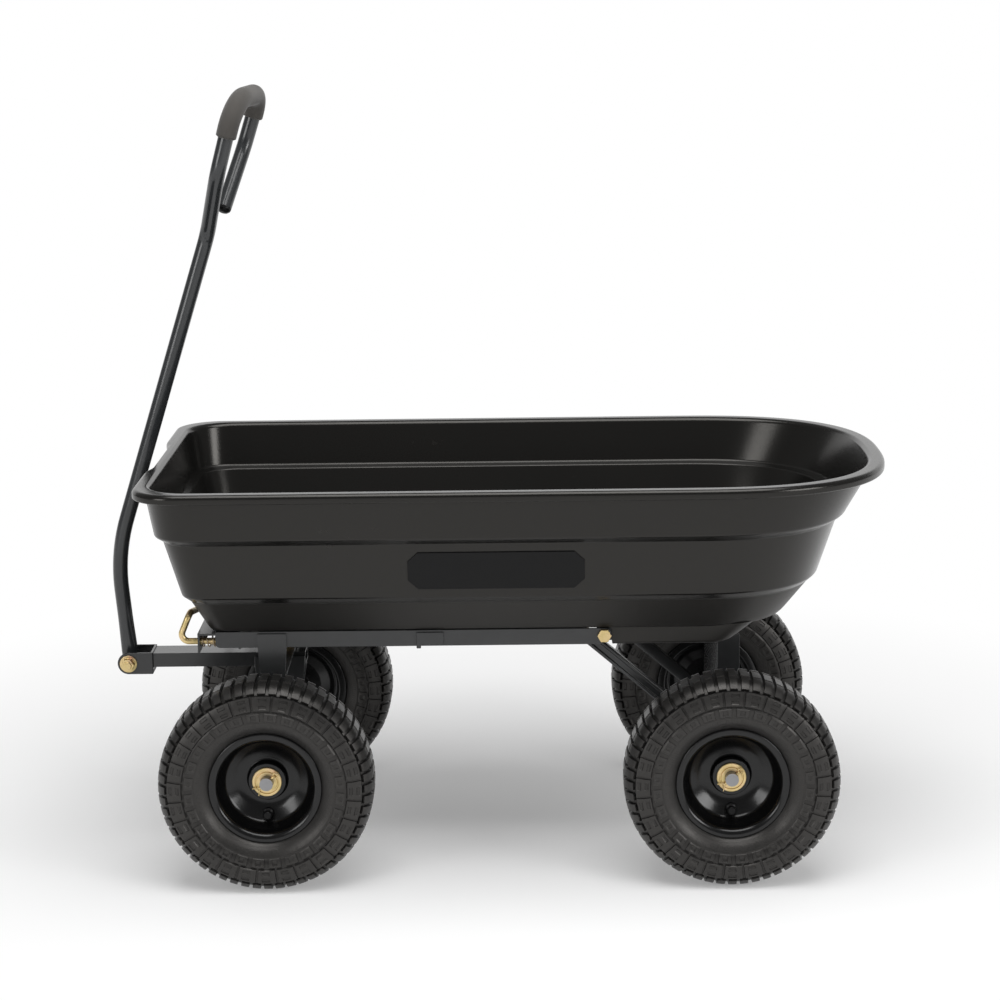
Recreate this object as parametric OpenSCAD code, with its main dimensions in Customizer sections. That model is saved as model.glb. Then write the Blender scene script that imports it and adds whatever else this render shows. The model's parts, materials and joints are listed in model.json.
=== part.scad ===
// Four-wheeled garden dump cart: a moulded tub that tips about a hinge behind its middle, a steered
// front axle under two frame rails, a folding loop handle and a sprung pin latch.
// Forward is -X, the left side is -Y and +Z is up. The origin is on the ground, under the middle of
// the whole cart. Lengths are in millimetres.

/* [Wheels] */
// Outer diameter of the tyre
tyre_d = 260; // [250:1:266]
// Width of the tyre
tyre_w = 84; // [70:1:90]
// Thickness of the tyre's rubber
tyre_wall = 7; // [5:0.5:9]
// Distance between the front and rear axles
wheelbase = 560; // [540:1:600]
// Gap between the tyres and the ends of the bolster strap
tyre_gap = 6.5; // [4:0.5:20]
// Depth of the tread's slots
tread_depth = 3; // [2:0.1:3.5]
// Number of lugs round each tyre's crown
tread_lugs = 56; // [48:2:60]
// Width of the slots between the crown's lugs
slot_w = 4; // [3:0.1:5]
// Width of the gaps between the blocks on the tyre's sides
block_gap = 6; // [4:0.1:7]
// Diameter of the seat that the tyre's beads sit on
rim_d = 120; // [110:1:126]
// Height of the rim's lips above the seat
rim_lip = 8.5; // [6:0.5:10]
// Width of the rim over its lips
rim_w = 60; // [50:1:66]
// Thickness of the rim's sheet
rim_wall = 2.5; // [1.5:0.1:3.5]
// Outside diameter of the hub
hub_d = 46; // [42:0.5:50]
// Reach of the hub outwards from the tyre's middle
hub_out = 2; // [0:0.5:8]
// Reach of the hub inwards from the tyre's middle
hub_in = 32; // [26:0.5:36]
// Height of the hub's boss in front of the rim's disc
boss_h = 12; // [8:0.5:16]
// Rise of the rim's disc from the hub to the barrel
bowl_rise = 12; // [8:0.5:16]
// Distance of the valve from the axle
valve_place = 40; // [34:0.5:46]
// Diameter of the valve's cap
valve_d = 13; // [9:0.5:15]
// Length of the valve outside the rim's disc
valve_l = 18; // [12:0.5:22]

/* [Axles] */
// Diameter of both axles
axle_d = 16; // [14:0.5:18]
// Length of axle beyond the hub's outer end
axle_end = 13; // [11:0.5:15]
// Outside diameter of the axle washers and collars
washer_d = 36; // [32:0.5:40]
// Thickness of the axle washers
washer_t = 2.5; // [1.5:0.1:3]
// Length of the collars at the hubs' inner ends
collar_l = 8; // [5:0.5:12]
// Diameter of the cotter pins
cotter_d = 3; // [2:0.1:4]

/* [Tub] */
// Length of the tub over its rim
tub_l = 913; // [890:1:940]
// Width of the tub over its rim
tub_w = 508; // [496:1:530]
// Height of the rim above the ground
rim_z = 490; // [470:1:510]
// Height of the floor's underside above the ground
floor_z = 303; // [296:1:316]
// Reach of the rim ahead of the front axle
tub_over = 151; // [140:1:165]
// Thickness of the tub's wall
tub_wall = 4; // [3:0.1:5]
// Width of the rim's flange
lip_w = 16; // [13:0.5:19]
// Depth of the rim's rolled edge
lip_h = 11.5; // [9:0.5:14]
// Inset of the floor's edge from the rim
tub_draft = 92; // [84:1:96]
// Extra slope of the rear end at the floor
rear_rake = 42; // [30:1:50]
// Radius of the front corners
corner_r = 55; // [45:1:65]
// Length of the rounded rear end
rear_reach = 250; // [220:1:270]
// Squareness of the rounded rear end
rear_power = 2.6; // [2.2:0.1:3]
// Depth of the hollow in the front rim that clears the handle
scoop_depth = 7; // [6.5:0.1:9]
// Width of that hollow at its full depth
scoop_w = 140; // [130:1:160]
// Depth of the well under the rear of the floor
well_h = 21.5; // [18:0.5:23]
// Length of the badge plate
badge_l = 211; // [180:1:230]
// Height of the badge plate
badge_h = 50; // [40:1:56]
// Thickness of the badge plate
badge_t = 2; // [1.5:0.1:3]

/* [Frame rails] */
// Height of the frame rails
rail_h = 20; // [18.5:0.5:22]
// Width of the rails' top flange
rail_w = 20; // [18:0.5:22]
// Thickness of the rails' sheet
rail_t = 2.5; // [2:0.1:3]
// Reach of the rails' outer faces past the floor's edge
rail_proud = 3; // [1:0.5:4]
// Reach of the rails ahead of the floor's front edge
rail_over = 4; // [2:0.5:6]
// Distance of the tipping hinge ahead of the rear axle
hinge_lead = 150.5; // [140:0.5:160]
// Depth of the hinge under the floor
hinge_drop = 9; // [8.5:0.1:9.5]
// Diameter of the hinge rod
hinge_d = 10; // [8:0.5:11]
// Reach of the front crossbar ahead of the rails
crossbar_lead = 22; // [18:0.5:26]
// Height of the front crossbar's upright flange
crossbar_h = 24; // [22:0.5:27]
// Length of the clips on the rails
clip_l = 33; // [26:0.5:40]
// Distance of the clips behind the front axle
clip_place = 198; // [180:1:215]

/* [Steering] */
// Width of the bolster strap along the cart
bolster_w = 35; // [31:0.5:38]
// Thickness of the bolster strap
bolster_t = 3; // [2.5:0.1:4]
// Depth of the bolster strap's underside under the floor
bolster_drop = 62.5; // [58:0.5:66]
// Distance of the kingpin behind the front axle
king_lag = 6; // [2:0.5:8]
// Diameter of the kingpin
king_d = 12; // [10:0.5:13]
// Width of the tongue tube
tongue_w = 38; // [34:0.5:42]
// Height of the tongue tube
tongue_h = 18; // [16.5:0.5:20]
// Wall of the tongue tube
tongue_t = 2.5; // [2:0.1:3]
// Thickness of the thrust washer on the kingpin
thrust_t = 2.4; // [2:0.1:3]
// Thickness of the fork plates
fork_t = 4; // [3:0.1:5]
// Length of the fork plates at the tongue
fork_l = 64; // [58:0.5:70]
// Thickness of the clevis cheeks
clevis_t = 3; // [2.5:0.1:4]
// Height of the clevis cheeks
clevis_h = 28; // [25:0.5:31]
// Reach of the clevis behind the handle's pivot
clevis_l = 31; // [28:0.5:36]
// Depth of the handle's pivot under the tongue's middle
pivot_drop = 3.5; // [0:0.5:5]

/* [Handle] */
// Diameter of the handle tube
handle_d = 19; // [17:0.5:19.5]
// Wall of the handle tube
handle_t = 1.8; // [1.2:0.1:2.5]
// Distance from the pivot to the lower bend
handle_low = 140.5; // [130:0.5:148]
// Forward lean of the lower part, in degrees
low_lean = 4.8; // [3:0.1:6]
// Backward lean of the shaft, in degrees
shaft_lean = 17.8; // [16.5:0.1:19]
// Gap between the handle and the front rim
handle_gap = 3.6; // [3:0.1:5]
// Distance from the lower bend to the fork of the loop
shaft_l = 425; // [405:1:445]
// Height of the loop above that fork
loop_h = 181; // [172:1:190]
// Width of the loop between the middles of its legs
loop_w = 100; // [96:1:108]
// Backward set of the loop's far leg
loop_set = 10; // [9:0.5:12]
// Forward set of the loop's near leg at the grip
near_set = 8; // [5:0.5:10]
// Outside diameter of the foam grip
grip_d = 25; // [23.5:0.5:28]
// Diameter of the handle's pivot bolt
pivot_d = 10; // [8:0.5:11]

/* [Latch] */
// Diameter of the latch rod
latch_d = 8; // [7:0.5:9]
// Distance of the latch rod inside the rail's outer face
latch_in = 13; // [12:0.5:14.5]
// Depth of the latch rod under the floor
latch_drop = 14.5; // [13.5:0.5:15.5]
// Reach of the rod's pull ahead of the crossbar
pull_lead = 24.5; // [20:0.5:30]
// Rise of the pull above the rod
pull_rise = 36; // [30:0.5:38]
// Drop of the pull's far end
pull_fall = 12; // [8:0.5:16]
// Length of the pull across the cart
pull_l = 62; // [50:1:80]
// Travel that the latch rod is drawn
latch_travel = 18; // [15:0.5:20]
// Mean diameter of the latch spring
spring_d = 13; // [12.5:0.1:13.5]
// Diameter of the spring's wire
wire_d = 1.6; // [1.2:0.1:1.8]
// Number of curls in the spring
spring_curls = 7; // [5:1:8]
// Length of the spring between its seats
spring_l = 42; // [38:0.5:46]

/* [Rear bracket] */
// Distance of the rear axle bracket's sides inside the floor's edges
bracket_in = 42; // [32:1:50]
// Length of the rear bracket's side plates
bracket_l = 27; // [25:0.5:32]
// Thickness of the rear bracket's plates
bracket_t = 3; // [2.5:0.1:4]
// Width of the square strut tubes
strut_w = 19.5; // [17:0.5:22]
// Wall of the strut tubes
strut_t = 2; // [1.5:0.1:2.5]
// Distance of the struts' upper ends ahead of the hinge
strut_lead = 44; // [38:0.5:52]
// Thickness of the struts' feet
foot_t = 3; // [2.5:0.1:4]

/* [Fits] */
// Radial clearance of pins and axles that turn
run_fit = 0.05; // [0.02:0.01:0.09]
// Gap between faces that move past each other
face_gap = 0.3; // [0.3:0.05:0.5]
// Clearance between pieces that are fixed to each other
seat_fit = 0.05; // [0.02:0.01:0.1]

/* [Hidden] */
$fn = 64;

// Sides of the cart
LEFT = -1;
RIGHT = 1;

// One overrun serves all cuts
over = 1;

// Finishes
tub_black = [0.17, 0.165, 0.16];
frame_grey = [0.22, 0.23, 0.24];
rubber_black = [0.12, 0.12, 0.12];
rim_black = [0.04, 0.04, 0.045];
zinc_gold = [0.75, 0.6, 0.3];
axle_grey = [0.5, 0.5, 0.5];
foam_grey = [0.2, 0.19, 0.18];
cap_black = [0.05, 0.05, 0.05];

// Places along the cart, counted from the middle of the wheelbase
front_x = -wheelbase / 2;
rear_x = wheelbase / 2;
axle_z = tyre_d / 2;
tub_front = front_x - tub_over;
tub_rear = tub_front + tub_l;
tub_depth = rim_z - floor_z;
floor_half = tub_w / 2 - tub_draft;
floor_front = tub_front + tub_draft;
hinge_x = rear_x - hinge_lead;
hinge_z = floor_z - hinge_drop;
rail_out = floor_half + rail_proud;
rail_top = floor_z - face_gap;
rail_front = floor_front - rail_over;
crossbar_x = rail_front - crossbar_lead;
crossbar_top = rail_top - rail_t;
king_x = front_x + king_lag;
bolster_z = floor_z - bolster_drop;
tongue_top = bolster_z - thrust_t - 2 * face_gap;
tongue_z = tongue_top - tongue_h / 2;
wheel_track = 2 * (rail_out + bolster_t + tyre_gap) + tyre_w;
axle_half = wheel_track / 2 + hub_out + axle_end;
bracket_w = 2 * (floor_half - bracket_in);

// The handle stands clear of the front rim, so its pivot follows the rim
pivot_z = tongue_z - pivot_drop;
bend_z = pivot_z + handle_low * cos(low_lean);
pivot_x = tub_front - handle_gap - handle_d / 2 / cos(shaft_lean)
    + handle_low * sin(low_lean) - (rim_z - bend_z) * tan(shaft_lean);
bend = [pivot_x - handle_low * sin(low_lean), 0, bend_z];
shaft_up = [sin(shaft_lean), 0, cos(shaft_lean)];
shaft_back = [cos(shaft_lean), 0, -sin(shaft_lean)];
low_up = [-sin(low_lean), 0, cos(low_lean)];
bend_r = 3 * handle_d;
corner_bend_r = 2.1 * handle_d;
far_bend_r = 1.4 * handle_d;

// The cart's front is the lower bend's outer side and its rear is the rim
bend_half = (low_lean + shaft_lean) / 2;
bend_start = bend - low_up * bend_r * tan(bend_half);
cart_front = bend_start[0] + bend_r * cos(low_lean) - bend_r - handle_d / 2;
mid_x = (cart_front + tub_rear) / 2;

module shifted() {
    translate([-mid_x, 0, 0])
        children();
}

function unit(v) = v / norm(v);

// Rods and tubes bent along a path: rings of points on a route with rounded turns

bend_step = 15;
tube_sides = 14;

// The turn at b on the way from a to c, and the points of its rounded corner
function turn(a, b, c) = acos(max(-1, min(1, unit(b - a) * unit(c - b))));
function rounded_turn(a, b, c, bend_r) =
    let (
        angle = turn(a, b, c),
        go = unit(b - a),
        inward = cross(unit(cross(go, unit(c - b))), go),
        centre = b - go * bend_r * tan(angle / 2) + inward * bend_r,
        steps = ceil(angle / bend_step)
    )
    [for (i = [0:steps])
        centre + bend_r * (go * sin(angle * i / steps) - inward * cos(angle * i / steps))];

function route(points, bends) = concat(
    [points[0]],
    [for (i = [1:len(points) - 2])
        each rounded_turn(points[i - 1], points[i], points[i + 1], bends[i - 1])],
    [points[len(points) - 1]]
);

function way_at(path, i) =
    let (last = len(path) - 1)
    unit(unit(path[min(i + 1, last)] - path[min(i, last - 1)])
        + unit(path[max(i, 1)] - path[max(i - 1, 0)]));

// A direction square to the path, carried from point to point without twist
function carried(path, i, before) =
    i == len(path) ? [] :
    let (way = way_at(path, i), out = unit(before - way * (before * way)))
    concat([out], carried(path, i + 1, out));

function tube_rings(path, r) =
    let (outs = carried(path, 0, [0.6, 0.64, 0.48]))
    [for (i = [0:len(path) - 1])
        let (side = cross(way_at(path, i), outs[i]))
        [for (j = [0:tube_sides - 1])
            path[i] + r * (outs[i] * cos(360 * j / tube_sides) + side * sin(360 * j / tube_sides))]];

// Radius at which a ring's flats, and not its corners, stand off a round of radius r
function round_outside(r) = r / cos(180 / tube_sides);

function reversed(list) = [for (i = [len(list) - 1:-1:0]) list[i]];

// Triangles between each ring and the next, and from the last back to the first where it is a loop
function ring_walls(count, sides, loop) =
    [for (i = [0:count - (loop ? 1 : 2)], j = [0:sides - 1])
        let (k = (j + 1) % sides, a = i * sides, b = ((i + 1) % count) * sides)
        each [[a + j, b + j, b + k], [a + j, b + k, a + k]]];

// A solid rod through rings of points
module swept(rings) {
    sides = len(rings[0]);
    end = (len(rings) - 1) * sides;
    caps = [for (j = [1:sides - 2])
        each [[0, j, j + 1], [end, end + j + 1, end + j]]];
    polyhedron([for (each_ring = rings) each each_ring], concat(ring_walls(len(rings), sides, false), caps));
}

// A tube with open ends
module pipe(path, r, hole) {
    rings = concat(tube_rings(path, r), reversed(tube_rings(path, hole)));
    polyhedron([for (each_ring = rings) each each_ring], ring_walls(len(rings), tube_sides, true));
}

module aimed(d) {
    rotate([0, acos(d[2]), atan2(d[1], d[0])])
        children();
}

// Fasteners

module hex_head(d, h) {
    cylinder(d = d, h = h, $fn = 6);
}

// Wheels: each is drawn about its own axis, with its outer side up

module wheel_place(x, side) {
    translate([x, side * wheel_track / 2, axle_z])
        rotate([-side * 90, 0, 0])
            children();
}

seat_r = rim_d / 2;
bead_gap = 0.2;
lip_gap = 1.2;
bead_half = rim_w / 2 - rim_wall - bead_gap;
side_foot = seat_r + rim_lip + lip_gap;
// Half section of the tyre over the rim's lip, as shares of its half width and of its height over the lip
tyre_side_shares = [
    [0.72, 0.016], [0.88, 0.155], [0.98, 0.33], [1, 0.47], [0.98, 0.63], [0.9, 0.79], [0.74, 0.92], [0.42, 1]
];

function tyre_side(shrink) = [for (p = tyre_side_shares)
    [side_foot + p[1] * (tyre_d / 2 - side_foot - shrink), p[0] * (tyre_w / 2 - shrink)]];
function tyre_half(shrink) = concat(
    [[seat_r + bead_gap + shrink, bead_half - shrink], [side_foot, bead_half - shrink]],
    tyre_side(shrink)
);
function mirrored(points) = [for (i = [len(points) - 1:-1:0]) [points[i][0], -points[i][1]]];

// Bands between two depths of the tyre's side: across the crown's lugs, and down the blocks beside them
crown_at = [5, 6, 7];
block_at = [3, 5];
function band(depth, at) = let (line = tyre_side(depth)) [for (i = at) line[i]];

module crown_band() {
    floor_line = band(tread_depth, crown_at);
    top_line = band(-tread_depth, crown_at);
    polygon(concat(floor_line, mirrored(floor_line), reversed(concat(top_line, mirrored(top_line)))));
}

module block_band() {
    polygon(concat(band(tread_depth * 2 / 3, block_at), reversed(band(-tread_depth, block_at))));
}

// Slots with level walls, evenly spread round the wheel's axis, with a lug at the ground
module slots(count, width) {
    for (i = [0:count - 1])
        rotate([0, 0, (i + 0.5) * 360 / count])
            rotate([90, 0, 0])
                translate([0, 0, -width / 2])
                    linear_extrude(width)
                        children();
}

module tyre(x, side) {
    color(rubber_black)
        shifted()
            wheel_place(x, side)
                difference() {
                    rotate_extrude()
                        difference() {
                            polygon(concat(tyre_half(0), mirrored(tyre_half(0))));
                            polygon(concat(tyre_half(tyre_wall), mirrored(tyre_half(tyre_wall))));
                        }
                    slots(tread_lugs, slot_w)
                        crown_band();
                    for (face = [0, 1])
                        mirror([0, 0, face])
                            slots(tread_lugs / 2, block_gap)
                                block_band();
                }
}

// The rim's disc is flat round the hub and rises to the barrel like a bowl
flat_share = 0.58;
disc_set = hub_out - boss_h;
disc_flat = hub_d * flat_share;
bowl_slope = bowl_rise / (seat_r - rim_wall - disc_flat);

// Section of the barrel, its two lips and the disc, as one outline
module rim_half_profile() {
    barrel_r = seat_r - rim_wall;
    lip_r = seat_r + rim_lip;
    half = rim_w / 2;
    polygon([
        [hub_d / 2 + seat_fit, disc_set],
        [disc_flat, disc_set],
        [barrel_r, disc_set + bowl_rise],
        [barrel_r, half],
        [lip_r, half],
        [lip_r, half - rim_wall],
        [seat_r, half - rim_wall],
        [seat_r, rim_wall - half],
        [lip_r, rim_wall - half],
        [lip_r, -half],
        [barrel_r, -half],
        [barrel_r, disc_set + bowl_rise - rim_wall],
        [disc_flat, disc_set - rim_wall],
        [hub_d / 2 + seat_fit, disc_set - rim_wall]
    ]);
}

valve_z = disc_set + bowl_slope * (valve_place - disc_flat);
flange_z = bowl_slope * valve_d / 2 + seat_fit;
stem_d = valve_d * 0.72;

module rim(x, side) {
    color(rim_black)
        shifted()
            wheel_place(x, side)
                difference() {
                    rotate_extrude()
                        rim_half_profile();
                    translate([0, side * valve_place, valve_z - rim_w / 2])
                        cylinder(d = stem_d + 2 * seat_fit, h = rim_w);
                }
}

// A boss in front of the rim's disc, on a slimmer barrel
barrel_share = 0.7;

module hub(x, side) {
    boss_foot = disc_set - rim_wall;
    color(rim_black)
        shifted()
            wheel_place(x, side)
                difference() {
                    union() {
                        translate([0, 0, -hub_in])
                            cylinder(d = hub_d * barrel_share, h = hub_in + hub_out);
                        translate([0, 0, boss_foot])
                            cylinder(d = hub_d, h = hub_out - boss_foot);
                    }
                    translate([0, 0, -hub_in - over])
                        cylinder(d = axle_d + 2 * run_fit, h = hub_in + hub_out + 2 * over);
                }
}

// Valve outline, as shares of the cap's radius and of the valve's outer length
valve_shares = [
    [0, 1], [0.6, 1], [0.8, 0.92], [0.8, 0.6], [0.6, 0.55], [0.6, 0.45], [1, 0.35]
];

module valve(x, side) {
    color(cap_black)
        shifted()
            wheel_place(x, side)
                translate([0, side * valve_place, valve_z])
                    rotate_extrude()
                        polygon(concat(
                            [for (p = valve_shares) [p[0] * valve_d / 2, p[1] * valve_l]],
                            [
                                [valve_d / 2, flange_z],
                                [stem_d / 2, flange_z],
                                [stem_d / 2, -rim_wall - washer_t],
                                [0, -rim_wall - washer_t]
                            ]
                        ));
}

// Axles, with a washer, a collar and a cotter pin for each wheel

washer_y = wheel_track / 2 + hub_out + face_gap;
collar_y = wheel_track / 2 - hub_in - face_gap - collar_l;
cotter_y = washer_y + washer_t + cotter_d;
cotter_lean = 50;

module axle_line(x) {
    translate([x, 0, axle_z])
        rotate([-90, 0, 0])
            children();
}

module axle(x) {
    color(axle_grey)
        shifted()
            axle_line(x)
                difference() {
                    translate([0, 0, -axle_half])
                        cylinder(d = axle_d, h = 2 * axle_half);
                    for (side = [LEFT, RIGHT])
                        rotate([0, 0, cotter_lean])
                            translate([0, axle_d, side * cotter_y])
                                rotate([90, 0, 0])
                                    cylinder(d = cotter_d + 2 * seat_fit, h = 2 * axle_d);
                }
}

module axle_rings(x, from, length) {
    for (side = [0, 1])
        mirror([0, side, 0])
            translate([x, from, axle_z])
                rotate([-90, 0, 0])
                    difference() {
                        cylinder(d = washer_d, h = length);
                        translate([0, 0, -over])
                            cylinder(d = axle_d + 2 * seat_fit, h = length + 2 * over);
                    }
}

module washers(x) {
    color(zinc_gold)
        shifted()
            axle_rings(x, washer_y, washer_t);
}

module collars(x) {
    color(frame_grey)
        shifted()
            axle_rings(x, collar_y, collar_l);
}

leg_splay = 40;

// A split pin: an eye above the axle, a shank through it and two legs bent apart under it
module cotters(x) {
    shank = axle_d + 2 * cotter_d;
    color(zinc_gold)
        shifted()
            for (side = [LEFT, RIGHT])
                translate([x, side * cotter_y, axle_z])
                    rotate([0, cotter_lean, 0]) {
                        translate([0, 0, -shank / 2])
                            cylinder(d = cotter_d, h = shank);
                        translate([0, 0, shank / 2 + cotter_d])
                            rotate([90, 0, 0])
                                rotate_extrude()
                                    translate([cotter_d, 0])
                                        circle(d = cotter_d / 2);
                        for (leg = [-1, 1])
                            translate([0, 0, -shank / 2])
                                rotate([0, 180 + leg * leg_splay, 0])
                                    cylinder(d = cotter_d / 2, h = 3 * cotter_d);
                    }
}

// Tub: rings of one outline, drawn in and lowered along a profile

front_shares = [1, 0.85, 0.7, 0.6, 0.5, 0.4, 0.2, 0, -0.2, -0.4, -0.5, -0.6, -0.7, -0.85, -1];
corner_step = 15;
rear_step = 7.5;
scoop_ramp = scoop_w / 4;

// The hollow in the front rim: full depth in the middle, with smooth ends, fading across the flange
function scoop(y, inset) =
    let (t = max(0, min(1, (abs(y) - scoop_w / 2) / scoop_ramp)))
    scoop_depth * (1 + cos(180 * t)) / 2 * max(0, 1 - inset / lip_w);

function signed_power(v, p) = sign(v) * pow(abs(v), p);

// How far the rear end is drawn in below the rim, as shares of the depth and of the rake
rake_shares = [
    [0, 0], [0.15, 0.41], [0.32, 0.53], [0.48, 0.61], [0.72, 0.58], [0.84, 0.54], [0.92, 0.68], [1, 0.78]
];

// How the front corners tighten below the rim, as shares of the depth and of their radius
corner_shares = [[0, 1], [1, 0.4]];

function tub_outline(inset, z) =
    let (
        half = tub_w / 2 - inset,
        front = tub_front + inset,
        start = tub_rear - rear_reach,
        deep = max(0, min(1, (rim_z - lip_h - z) / (tub_depth - lip_h))),
        reach = rear_reach - inset - rear_rake * lookup(deep, rake_shares),
        turn_r = corner_r * lookup(deep, corner_shares),
        flat = half - turn_r,
        power = 2 / rear_power
    )
    concat(
        [for (s = front_shares) [front + scoop(s * flat, inset), s * flat, z]],
        [for (a = [corner_step:corner_step:90])
            [front + turn_r * (1 - cos(a)), -flat - turn_r * sin(a), z]],
        [for (a = [-90:rear_step:90])
            [start + reach * pow(abs(cos(a)), power), half * signed_power(sin(a), power), z]],
        [for (a = [90:-corner_step:corner_step])
            [front + turn_r * (1 - cos(a)), flat + turn_r * sin(a), z]]
    );

// The wall under the flange, as shares of the tub's draft and of its depth above the floor
tub_wall_shares = [
    [0.265, 0.69], [0.285, 0.668], [0.36, 0.645], [0.39, 0.625], [0.6, 0.275], [0.62, 0.245], [0.7, 0.218],
    [0.74, 0.195], [0.92, 0.045], [0.955, 0.015], [1, 0]
];

// The rolled edge, as shares of the flange's width and of the edge's depth
lip_shares = [[0.5, 0], [0.18, 0.05], [0.04, 0.25], [0, 0.6], [0.04, 1], [0.22, 1], [0.3, 0.6]];

tub_wall_path = [for (p = tub_wall_shares) [p[0] * tub_draft, floor_z + p[1] * tub_depth]];
tub_outer = concat(
    [for (p = lip_shares) [p[0] * lip_w, rim_z - p[1] * lip_h]],
    [[lip_w - tub_wall / 2, rim_z - tub_wall], [lip_w, rim_z - 1.5 * tub_wall]],
    tub_wall_path
);
tub_inner = concat(
    [for (i = [len(tub_wall_path) - 1:-1:0]) tub_wall_path[i] + [tub_wall, tub_wall]],
    [[lip_w + tub_wall, rim_z - tub_wall], [lip_w + tub_wall / 2, rim_z - tub_wall / 4]]
);

// Inner height of the floor, and the slope of the middle tier that carries the badge plate
load_z = floor_z + tub_wall;
tier_top = tub_wall_path[3];
tier_foot = tub_wall_path[4];
tier_slope = atan2(tier_foot[0] - tier_top[0], tier_top[1] - tier_foot[1]);

module tub() {
    levels = [for (p = concat(tub_inner, tub_outer)) tub_outline(p[0], p[1])];
    count = len(levels[0]);
    end = (len(levels) - 1) * count;
    load_mid = len(levels) * count;
    floor_mid = load_mid + 1;
    walls = [for (face = ring_walls(len(levels), count, false)) reversed(face)];
    floors = [for (j = [0:count - 1])
        let (k = (j + 1) % count)
        each [[load_mid, k, j], [floor_mid, end + j, end + k]]];
    color(tub_black)
        shifted()
            polyhedron(
                concat([for (level = levels) each level], [[0, 0, load_z], [0, 0, floor_z]]),
                concat(walls, floors)
            );
}

well_gap = hinge_drop + face_gap;
well_front = hinge_x + well_gap;
well_z = floor_z - well_h;
well_foot = rear_x + bracket_l * 0.4;
well_tip = well_foot + 1.5 * well_h;
well_turn = tub_rear - rear_reach;

module well_side(shrink) {
    polygon([
        [well_front + shrink, floor_z + (shrink > 0 ? over : 0)],
        [well_front + shrink, well_z + well_h / 8],
        [well_front + well_h / 8 + shrink, well_z + shrink],
        [well_foot - shrink, well_z + shrink],
        [well_tip - 2 * shrink, floor_z + (shrink > 0 ? over : 0)]
    ]);
}

module well_plan(shrink) {
    half = floor_half - shrink;
    polygon([
        [well_front - over, -half],
        [well_turn, -half],
        [well_foot, -half * 0.99],
        [well_tip, -half * 0.8],
        [well_tip, half * 0.8],
        [well_foot, half * 0.99],
        [well_turn, half],
        [well_front - over, half]
    ]);
}

module well_block(shrink) {
    intersection() {
        translate([0, tub_w / 2, 0])
            rotate([90, 0, 0])
                linear_extrude(tub_w)
                    well_side(shrink);
        translate([0, 0, well_z - over])
            linear_extrude(well_h + 3 * over)
                well_plan(shrink);
    }
}

module rear_well() {
    color(tub_black)
        shifted()
            difference() {
                well_block(0);
                well_block(tub_wall);
            }
}

badge_cut = badge_h / 4;

// A bare plate with cut corners, flat on the middle tier of the left side
module badge_plate() {
    mid = (tier_top + tier_foot) / 2;
    color(cap_black)
        shifted()
            translate([0, -(tub_w / 2 - mid[0]), mid[1]])
                rotate([90 + tier_slope, 0, 0])
                    linear_extrude(badge_t)
                        polygon([
                            [-badge_l / 2 + badge_cut, -badge_h / 2],
                            [badge_l / 2 - badge_cut, -badge_h / 2],
                            [badge_l / 2, -badge_h / 2 + badge_cut],
                            [badge_l / 2, badge_h / 2 - badge_cut],
                            [badge_l / 2 - badge_cut, badge_h / 2],
                            [-badge_l / 2 + badge_cut, badge_h / 2],
                            [-badge_l / 2, badge_h / 2 - badge_cut],
                            [-badge_l / 2, -badge_h / 2 + badge_cut]
                        ]);
}

// Tipping hinge: a rod across the cart, held in two ears under the tub, that the rails turn on

ear_t = rail_t * 1.6;
ear_y = rail_out - rail_w / 2 - ear_t / 2;

module hinge_ear(side) {
    color(frame_grey)
        shifted()
            translate([0, side * ear_y + ear_t / 2, 0])
                rotate([90, 0, 0])
                    difference() {
                        linear_extrude(ear_t)
                            union() {
                                translate([hinge_x, hinge_z])
                                    circle(hinge_drop);
                                translate([hinge_x - hinge_drop, hinge_z])
                                    square([hinge_drop + well_gap, hinge_drop]);
                                translate([hinge_x, hinge_z - hinge_drop])
                                    square([well_gap, hinge_drop]);
                            }
                        translate([hinge_x, hinge_z, -over])
                            cylinder(d = hinge_d + 2 * seat_fit, h = ear_t + 2 * over);
                    }
}

hinge_head_h = hinge_d * 0.6;

module hinge_rod() {
    color(zinc_gold)
        shifted()
            translate([hinge_x, 0, hinge_z])
                rotate([-90, 0, 0]) {
                    translate([0, 0, -rail_out - face_gap])
                        cylinder(d = hinge_d, h = 2 * (rail_out + face_gap));
                    for (end = [0, 1])
                        mirror([0, 0, end])
                            translate([0, 0, rail_out + face_gap])
                                hex_head(hinge_d * 1.7, hinge_head_h);
                }
}

// Frame rails: angles with the upright flange outside, cut away at the hinge and over the strike

latch_y = -(rail_out - latch_in);
latch_z = floor_z - latch_drop;
crossbar_back = rail_front + rail_w * 1.5;
guide_t = rail_t;
strike_t = rail_t;
strike_gap = 0.5;
guide_x = crossbar_x + rail_t + spring_l + rail_h / 4 + face_gap;
strike_x = guide_x + guide_t + rail_h / 2;
window_front = strike_x - rail_h / 2;
window_back = strike_x + strike_t + rail_h / 2;
flange_end = hinge_x - 2.7 * hinge_drop;
rail_end_r = hinge_drop - face_gap;

module rail_upright() {
    corner = rail_h / 4;
    translate([rail_front, rail_top - rail_h])
        polygon([
            [corner, 0],
            [hinge_x - rail_front - rail_end_r / 2, 0],
            [hinge_x - rail_front, rail_h - rail_end_r * 2],
            [hinge_x - rail_front, rail_h],
            [0, rail_h],
            [0, corner],
            [corner * 0.3, corner * 0.3]
        ]);
    translate([hinge_x, hinge_z])
        circle(rail_end_r);
}

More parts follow.
